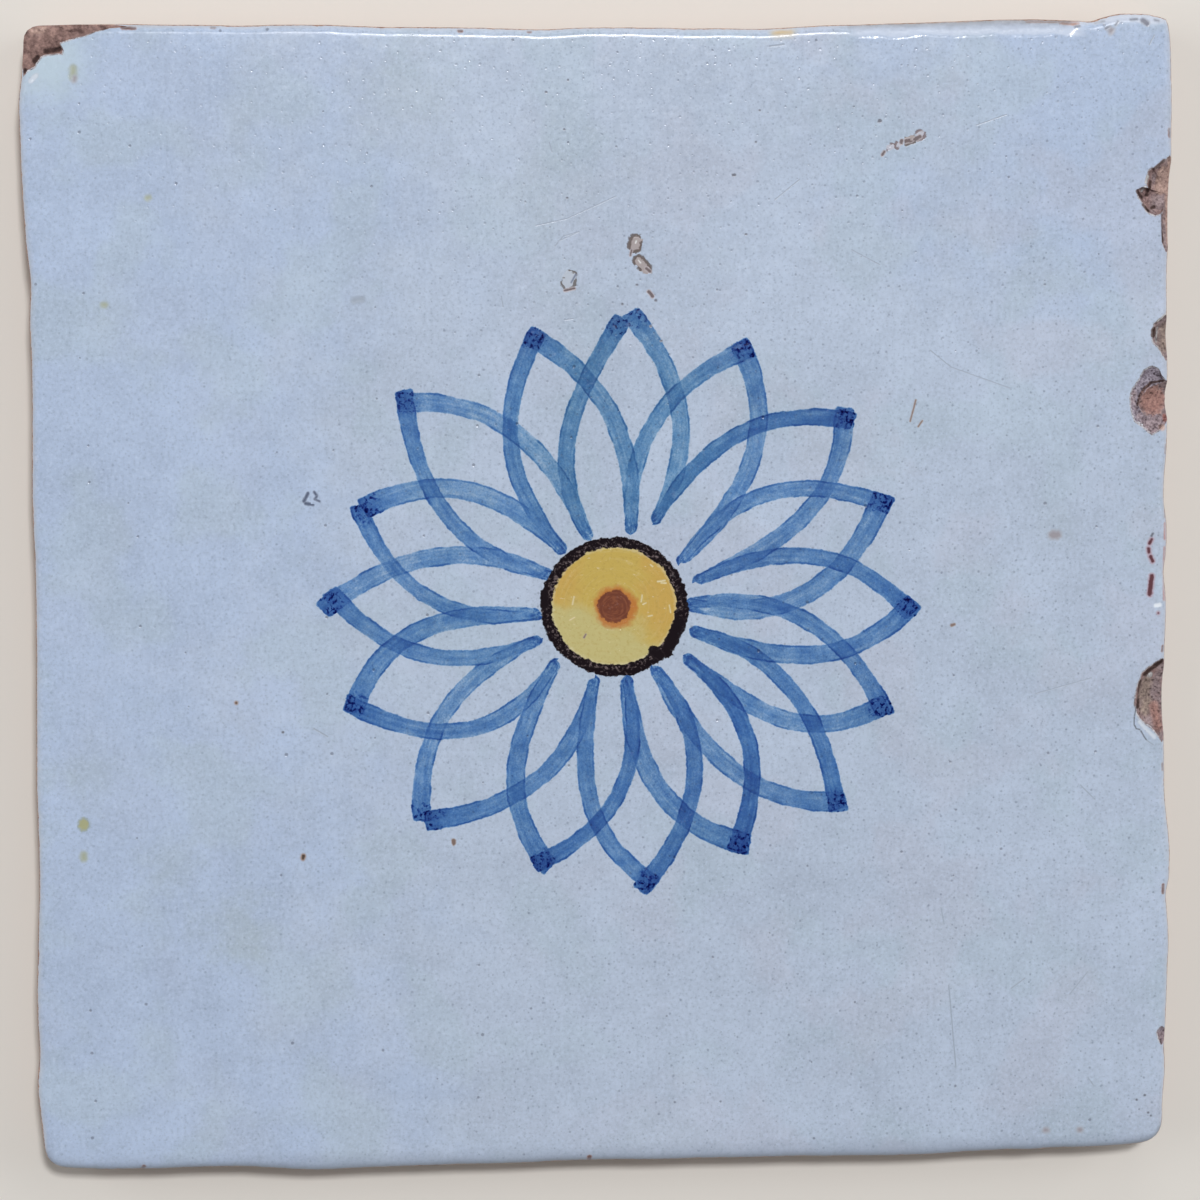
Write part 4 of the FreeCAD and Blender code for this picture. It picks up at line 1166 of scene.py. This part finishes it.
def painted_glaze(name, glaze_look, look, thick):
    """Pale tin glaze with its painting, specks and faults, thinner where it rolls over the arris."""
    material, w, surface = new_material(name)
    place = w.millimetres()
    x, y, z = w.parts(place)
    flat = w.joined(x, y)
    mottle = w.grain(flat, 2.8, 4.0, 0.6, flat=True)
    fine = w.grain(flat, 0.62, 3.0, 0.7, flat=True)
    colour = glaze_clouds(w, flat, tuple(glaze_look.glaze))
    colour = w.mixed(w.blend(fine, 0.52, 0.72, 0.0, 0.48), colour, full((148, 161, 181)))
    colour = w.mixed(w.blend(fine, 0.48, 0.28, 0.0, 0.48), colour, full((190, 204, 226)))
    colour, pits = scatter_specks(w, colour, flat, x)
    colour = paint_strokes(w, colour, place, look)
    colour, line = paint_middle(w, colour, place, look)
    # Greener round the broken corner
    corner = w.add(w.vector("DISTANCE", flat, (-96.0, 94.0, 0.0)), w.times(w.less(mottle, 0.5), 6.0))
    colour = w.mixed(w.blend(corner, 11.0, 2.0, 0.0, 0.65), colour, full((188, 206, 215)))
    # A thick, clean run of glaze along the top side, with a painted sheen on it
    run = w.blend(w.maths("ABSOLUTE", w.less(x, 64.0)), 22.0, 19.0)
    clean_run = w.times(run, w.blend(y, 95.5, 96.5))
    uneven_y = w.add(y, w.times(w.uneven(flat, 5.0, 3.0, flat=True), 1.2))
    painted_run_sheen = w.times(clean_run, w.blend(uneven_y, 97.1, 97.7, 0.0, 0.75))
    colour = w.mixed(painted_run_sheen, colour, full((203, 212, 229)))
    # A painted highlight along the top edge, and painted shade along the bottom edge
    colour = w.mixed(w.blend(uneven_y, 99.0, 99.9, 0.0, 0.70), colour, full((200, 205, 219)))
    colour = w.mixed(w.blend(uneven_y, -98.0, -101.5, 0.0, 0.6), colour, full((140, 150, 168)))
    colour, marked = show_marks(w, colour)
    # How far below the face a place on the arris lies, unevenly
    fall = w.add(w.less(thick, z), w.times(w.uneven(place, 1.3, 4.0, 0.65), 0.9))
    colour, bare, clay_height = thin_over_clay(w, colour, place, fall)
    w.feed(surface["Base Color"], colour)
    # Duller on bare clay, on the dark outline, in the mottles and on the arris, but not on the clean run
    dull = w.add(w.times(bare, 0.5), w.times(line, 0.12))
    dull = w.add(w.times(w.blend(mottle, 0.4, 0.7), 0.06), dull)
    dull = w.add(dull, w.times(w.blend(fall, 0.0, 0.3, 0.0, 0.15), w.less(1.0, clean_run)))
    gloss = w.less(glaze_look.gloss, w.times(clean_run, 0.05))
    w.feed(surface["Roughness"], w.add(w.add(gloss, dull), w.times(marked, 0.2)))
    shine = w.blend(w.node("ShaderNodeRGBToBW", {0: colour}).outputs[0], 0.0, 0.06, 0.04, 0.34)
    w.feed(surface["Specular IOR Level"], shine)
    surface["IOR"].default_value = 1.5
    # The run bends down towards the side from farther in than the glaze beside it
    rolls_from = w.add(w.times(w.less(1.0, run), 1.7), 96.8)
    roll = w.times(w.maths("MAXIMUM", w.less(uneven_y, rolls_from), 0.0), w.blend(x, 84.5, 80.5))
    relief = w.add(w.times(w.grain(flat, 2.4, 2.0, flat=True), 0.5), w.times(fine, 0.12))
    relief = w.times(relief, w.less(1.0, w.times(clean_run, 0.55)))
    relief = w.less(relief, w.add(pits, w.times(marked, 0.3)))
    relief = w.add(relief, w.times(line, 0.10))
    relief = w.less(relief, w.times(w.times(roll, roll), 3.3))
    relief = w.add(relief, w.times(w.times(clay_height, bare), 0.8))
    w.feed(surface["Normal"], raised(w, relief, 0.06))
    return material


# How each clay looks: the colour of its patches, how coarse its grain is, the height of its relief in
# millimetres and how strongly its grains differ. The clays that a break shows have their own tone first, and
# the sides and the back have the tone that the settings give.
SIDE_CLAY = ((210, 162, 138), 1.1, 0.26, 0.5)
BROKEN_CLAYS = {
    "old_crust": ((184, 177, 192), (190, 172, 176), 1.3, 0.30, 1.0),
    "weathered_clay": ((174, 150, 146), (164, 134, 126), 2.6, 0.30, 0.9),
    "fresh_clay": ((178, 161, 163), (184, 154, 150), 1.5, 0.30, 0.75),
}
# The shades of clay from its darkest grains to its palest, each with the grain where it stands
CLAY_SHADES = (
    (0.36, (112, 101, 104)), (0.45, (176, 171, 173)), (0.53, (214, 210, 210)), (0.62, (252, 250, 248)),
)
# The same for the streaks of broken glaze
GLASS_SHADES = ((0.36, (122, 114, 120)), (0.48, (176, 174, 182)), (0.60, (212, 215, 222)))


def clay_finish(name, tone, patch, coarse, relief, contrast, broken):
    """Bare fired clay: a tone with patches of another, darker and paler from grain to grain. A broken surface
    also shows the marks that lie on it."""
    material, w, surface = new_material(name)
    grain = w.group("clay grain", {"Place": w.millimetres(), "Coarse": coarse})
    colour = w.mixed(w.blend(grain["Patch"], 0.44, 0.60, 0.0, 0.8), tone, full(patch))
    if broken:
        colour, _ = show_marks(w, colour)
    shades = w.ramp(grain["Grain"], CLAY_SHADES)
    shades = w.mixed(contrast, full((222, 218, 218)), shades)
    w.feed(surface["Base Color"], w.stained(colour, shades))
    w.feed(surface["Roughness"], w.add(0.78, w.times(grain["Patch"], 0.2)))
    surface["Specular IOR Level"].default_value = 0.25
    w.feed(surface["Normal"], raised(w, grain["Height"], relief))
    return material


def broken_glaze(name):
    """The wall where the glaze broke: grey glass with dark conchoidal streaks."""
    material, w, surface = new_material(name)
    place = w.millimetres()
    streaks = w.grain(place, 0.35, 3.0, 0.6)
    patches = w.grain(place, 1.8, 2.0)
    colour = w.ramp(streaks, GLASS_SHADES)
    colour = w.mixed(w.blend(patches, 0.52, 0.66, 0.0, 0.8), colour, full((104, 86, 86)))
    colour, _ = show_marks(w, colour)
    w.feed(surface["Base Color"], colour)
    w.feed(surface["Roughness"], w.blend(streaks, 0.3, 0.7, 0.25, 0.5))
    w.feed(surface["Normal"], raised(w, streaks, 0.12))
    return material


def tile_materials():
    """The tile's finishes by name, made once. The glaze comes first and the bare clay second."""
    scene = bpy.context.scene
    for make in (brush_stroke_group, specks_group, clay_group, mark_group):
        make()
    glaze_look, thick = scene.tile_glaze, scene.tile_slab.thickness / MM
    made = [
        painted_glaze("painted_glaze", glaze_look, scene.tile_painting, thick),
        clay_finish("fired_clay", tuple(glaze_look.clay), *SIDE_CLAY, broken=False),
        broken_glaze("broken_glaze"),
    ]
    for name, (tone, *grain) in BROKEN_CLAYS.items():
        made.append(clay_finish(name, full(tone), *grain, broken=True))
    return {finish.name: finish for finish in made}


# The lamps: name, place and width in metres, and power as a share of the window's
LAMPS = (
    ("window", (0.20, 0.84, 2.50), 0.26, 1.0),
    ("right_fill", (1.00, 0.32, 0.80), 0.9, 0.108),
    ("left_fill", (-1.00, 0.28, 0.80), 0.9, 0.108),
    ("top_fill", (0.15, 1.20, 0.50), 0.5, 0.052),
)
# How wide the floor is, in metres, and over which distances from the tile, in millimetres, it runs into the
# backdrop
FLOOR_WIDTH = 6
FLOOR_FADE = (250.0, 800.0)


class TILE_OT_stage(bpy.types.Operator):
    """Sets the tile on a plain floor under soft studio light, with a camera above it"""

    bl_idname = "tile.stage"
    bl_label = "Stage"

    def execute(self, context):
        scene, stage = context.scene, context.scene.tile_stage
        bpy.ops.object.select_all(action="DESELECT")
        bpy.ops.mesh.primitive_plane_add(size=FLOOR_WIDTH, location=(0, 0, 0))
        floor = context.object
        floor.name = "studio_floor"
        floor.data.materials.append(studio_floor(stage))
        world = bpy.data.worlds.new("soft_sky")
        scene.world = world
        world.use_nodes = True
        w = Wiring(world.node_tree)
        even_light = (stage.sky, stage.sky, stage.sky, 1.0)
        background = world.node_tree.nodes["Background"].inputs["Color"]
        w.feed(background, w.mixed(seen_rays(w), even_light, tuple(stage.backdrop)))
        lamps = [soft_lamp(name, place, size, stage.window * share) for name, place, size, share in LAMPS]
        bpy.ops.object.camera_add(location=(0, 0, 1))
        camera = context.object
        camera.name = "photo_camera"
        aim_camera(camera, stage)
        scene.camera = camera
        scene.view_settings.view_transform = "Standard"
        return {"FINISHED"}


def seen_rays(w):
    """One where a ray shows the backdrop, straight, in gloss or through glass, and nought where it lights."""
    ray = w.node("ShaderNodeLightPath").outputs
    shown = w.maths("MAXIMUM", ray["Is Camera Ray"], ray["Is Glossy Ray"])
    return w.maths("MAXIMUM", shown, ray["Is Transmission Ray"])


def studio_floor(stage):
    """A plain pale floor that takes the tile's shadow and, away from the tile, runs into the backdrop."""
    material, w, surface = new_material("studio_floor")
    surface["Base Color"].default_value = tuple(stage.floor)
    surface["Roughness"].default_value = 0.9
    far = w.times(w.blend(w.vector("LENGTH", w.millimetres()), *FLOOR_FADE), seen_rays(w))
    plain = surface["Base Color"].node.outputs[0]
    shown = plain.links[0].to_socket
    glow = w.node("ShaderNodeEmission", {"Color": tuple(stage.backdrop)}).outputs[0]
    w.feed(shown, w.node("ShaderNodeMixShader", {0: far, 1: plain, 2: glow}).outputs[0])
    return material


def soft_lamp(name, place, size, power):
    """A square lamp that faces the tile."""
    bpy.ops.object.light_add(type="AREA", location=place)
    lamp = bpy.context.object
    lamp.name = name
    lamp.data.shape, lamp.data.size, lamp.data.energy = "SQUARE", size, power
    lamp.rotation_euler = (-Vector(place)).to_track_quat("-Z", "Y").to_euler()
    return lamp


# Where the camera looks, in millimetres, how far it leans towards the tile's left and top sides and how far
# it rolls, both in degrees, and the width of its sensor in millimetres
CAMERA_TARGET = (-0.975, -0.864)
CAMERA_LEAN = (3.925, 5.599)
CAMERA_ROLL = -0.422
SENSOR_WIDTH = 36.0


def aim_camera(camera, stage):
    """Puts the camera above the face, leaning a little to the left and the top, as the photo was taken."""
    aside, above = (math.sin(math.radians(a)) for a in CAMERA_LEAN)
    back = Vector((-aside, above, math.sqrt(1 - aside**2 - above**2)))
    target = Vector((CAMERA_TARGET[0] * MM, CAMERA_TARGET[1] * MM, CAD_HIGH.z))
    right = Vector((0, 1, 0)).cross(back).normalized()
    upward = back.cross(right)
    turn = math.radians(CAMERA_ROLL)
    across = right * math.cos(turn) + upward * math.sin(turn)
    along = -right * math.sin(turn) + upward * math.cos(turn)
    camera.matrix_world = Matrix((across, along, back)).transposed().to_4x4()
    camera.location = target + back * stage.camera_distance
    camera.data.lens, camera.data.sensor_width = stage.lens, SENSOR_WIDTH
    camera.data.clip_start, camera.data.clip_end = 0.01, 20.0


class TILE_PT_panel(bpy.types.Panel):
    """Lists the steps that build the tile, and the sizes and colours that can be changed"""

    bl_idname = "TILE_PT_panel"
    bl_label = "Wall tile"
    bl_space_type = "VIEW_3D"
    bl_region_type = "UI"
    bl_category = "Wall tile"

    def draw(self, context):
        for group in SETTINGS:
            settings = getattr(context.scene, group)
            for name in type(settings).__annotations__:
                self.layout.prop(settings, name)
        for operator in STEPS:
            self.layout.operator(operator.bl_idname)


SETTINGS = {
    "tile_slab": TileSlabSizes,
    "tile_painting": TilePaintingLook,
    "tile_glaze": TileGlazeLook,
    "tile_stage": TileStageSettings,
}
STEPS = (TILE_OT_slab, TILE_OT_broken_edges, TILE_OT_painting, TILE_OT_stage)


def register():
    for made in (*SETTINGS.values(), *STEPS, TILE_PT_panel):
        bpy.utils.register_class(made)
    for name, group in SETTINGS.items():
        setattr(bpy.types.Scene, name, bpy.props.PointerProperty(type=group))


def unregister():
    for name in SETTINGS:
        delattr(bpy.types.Scene, name)
    for made in (TILE_PT_panel, *reversed(STEPS), *reversed(SETTINGS.values())):
        bpy.utils.unregister_class(made)


def main():
    register()
    for step in STEPS:
        folder, name = step.bl_idname.split(".")
        getattr(getattr(bpy.ops, folder), name)()


if __name__ == "__main__":
    main()
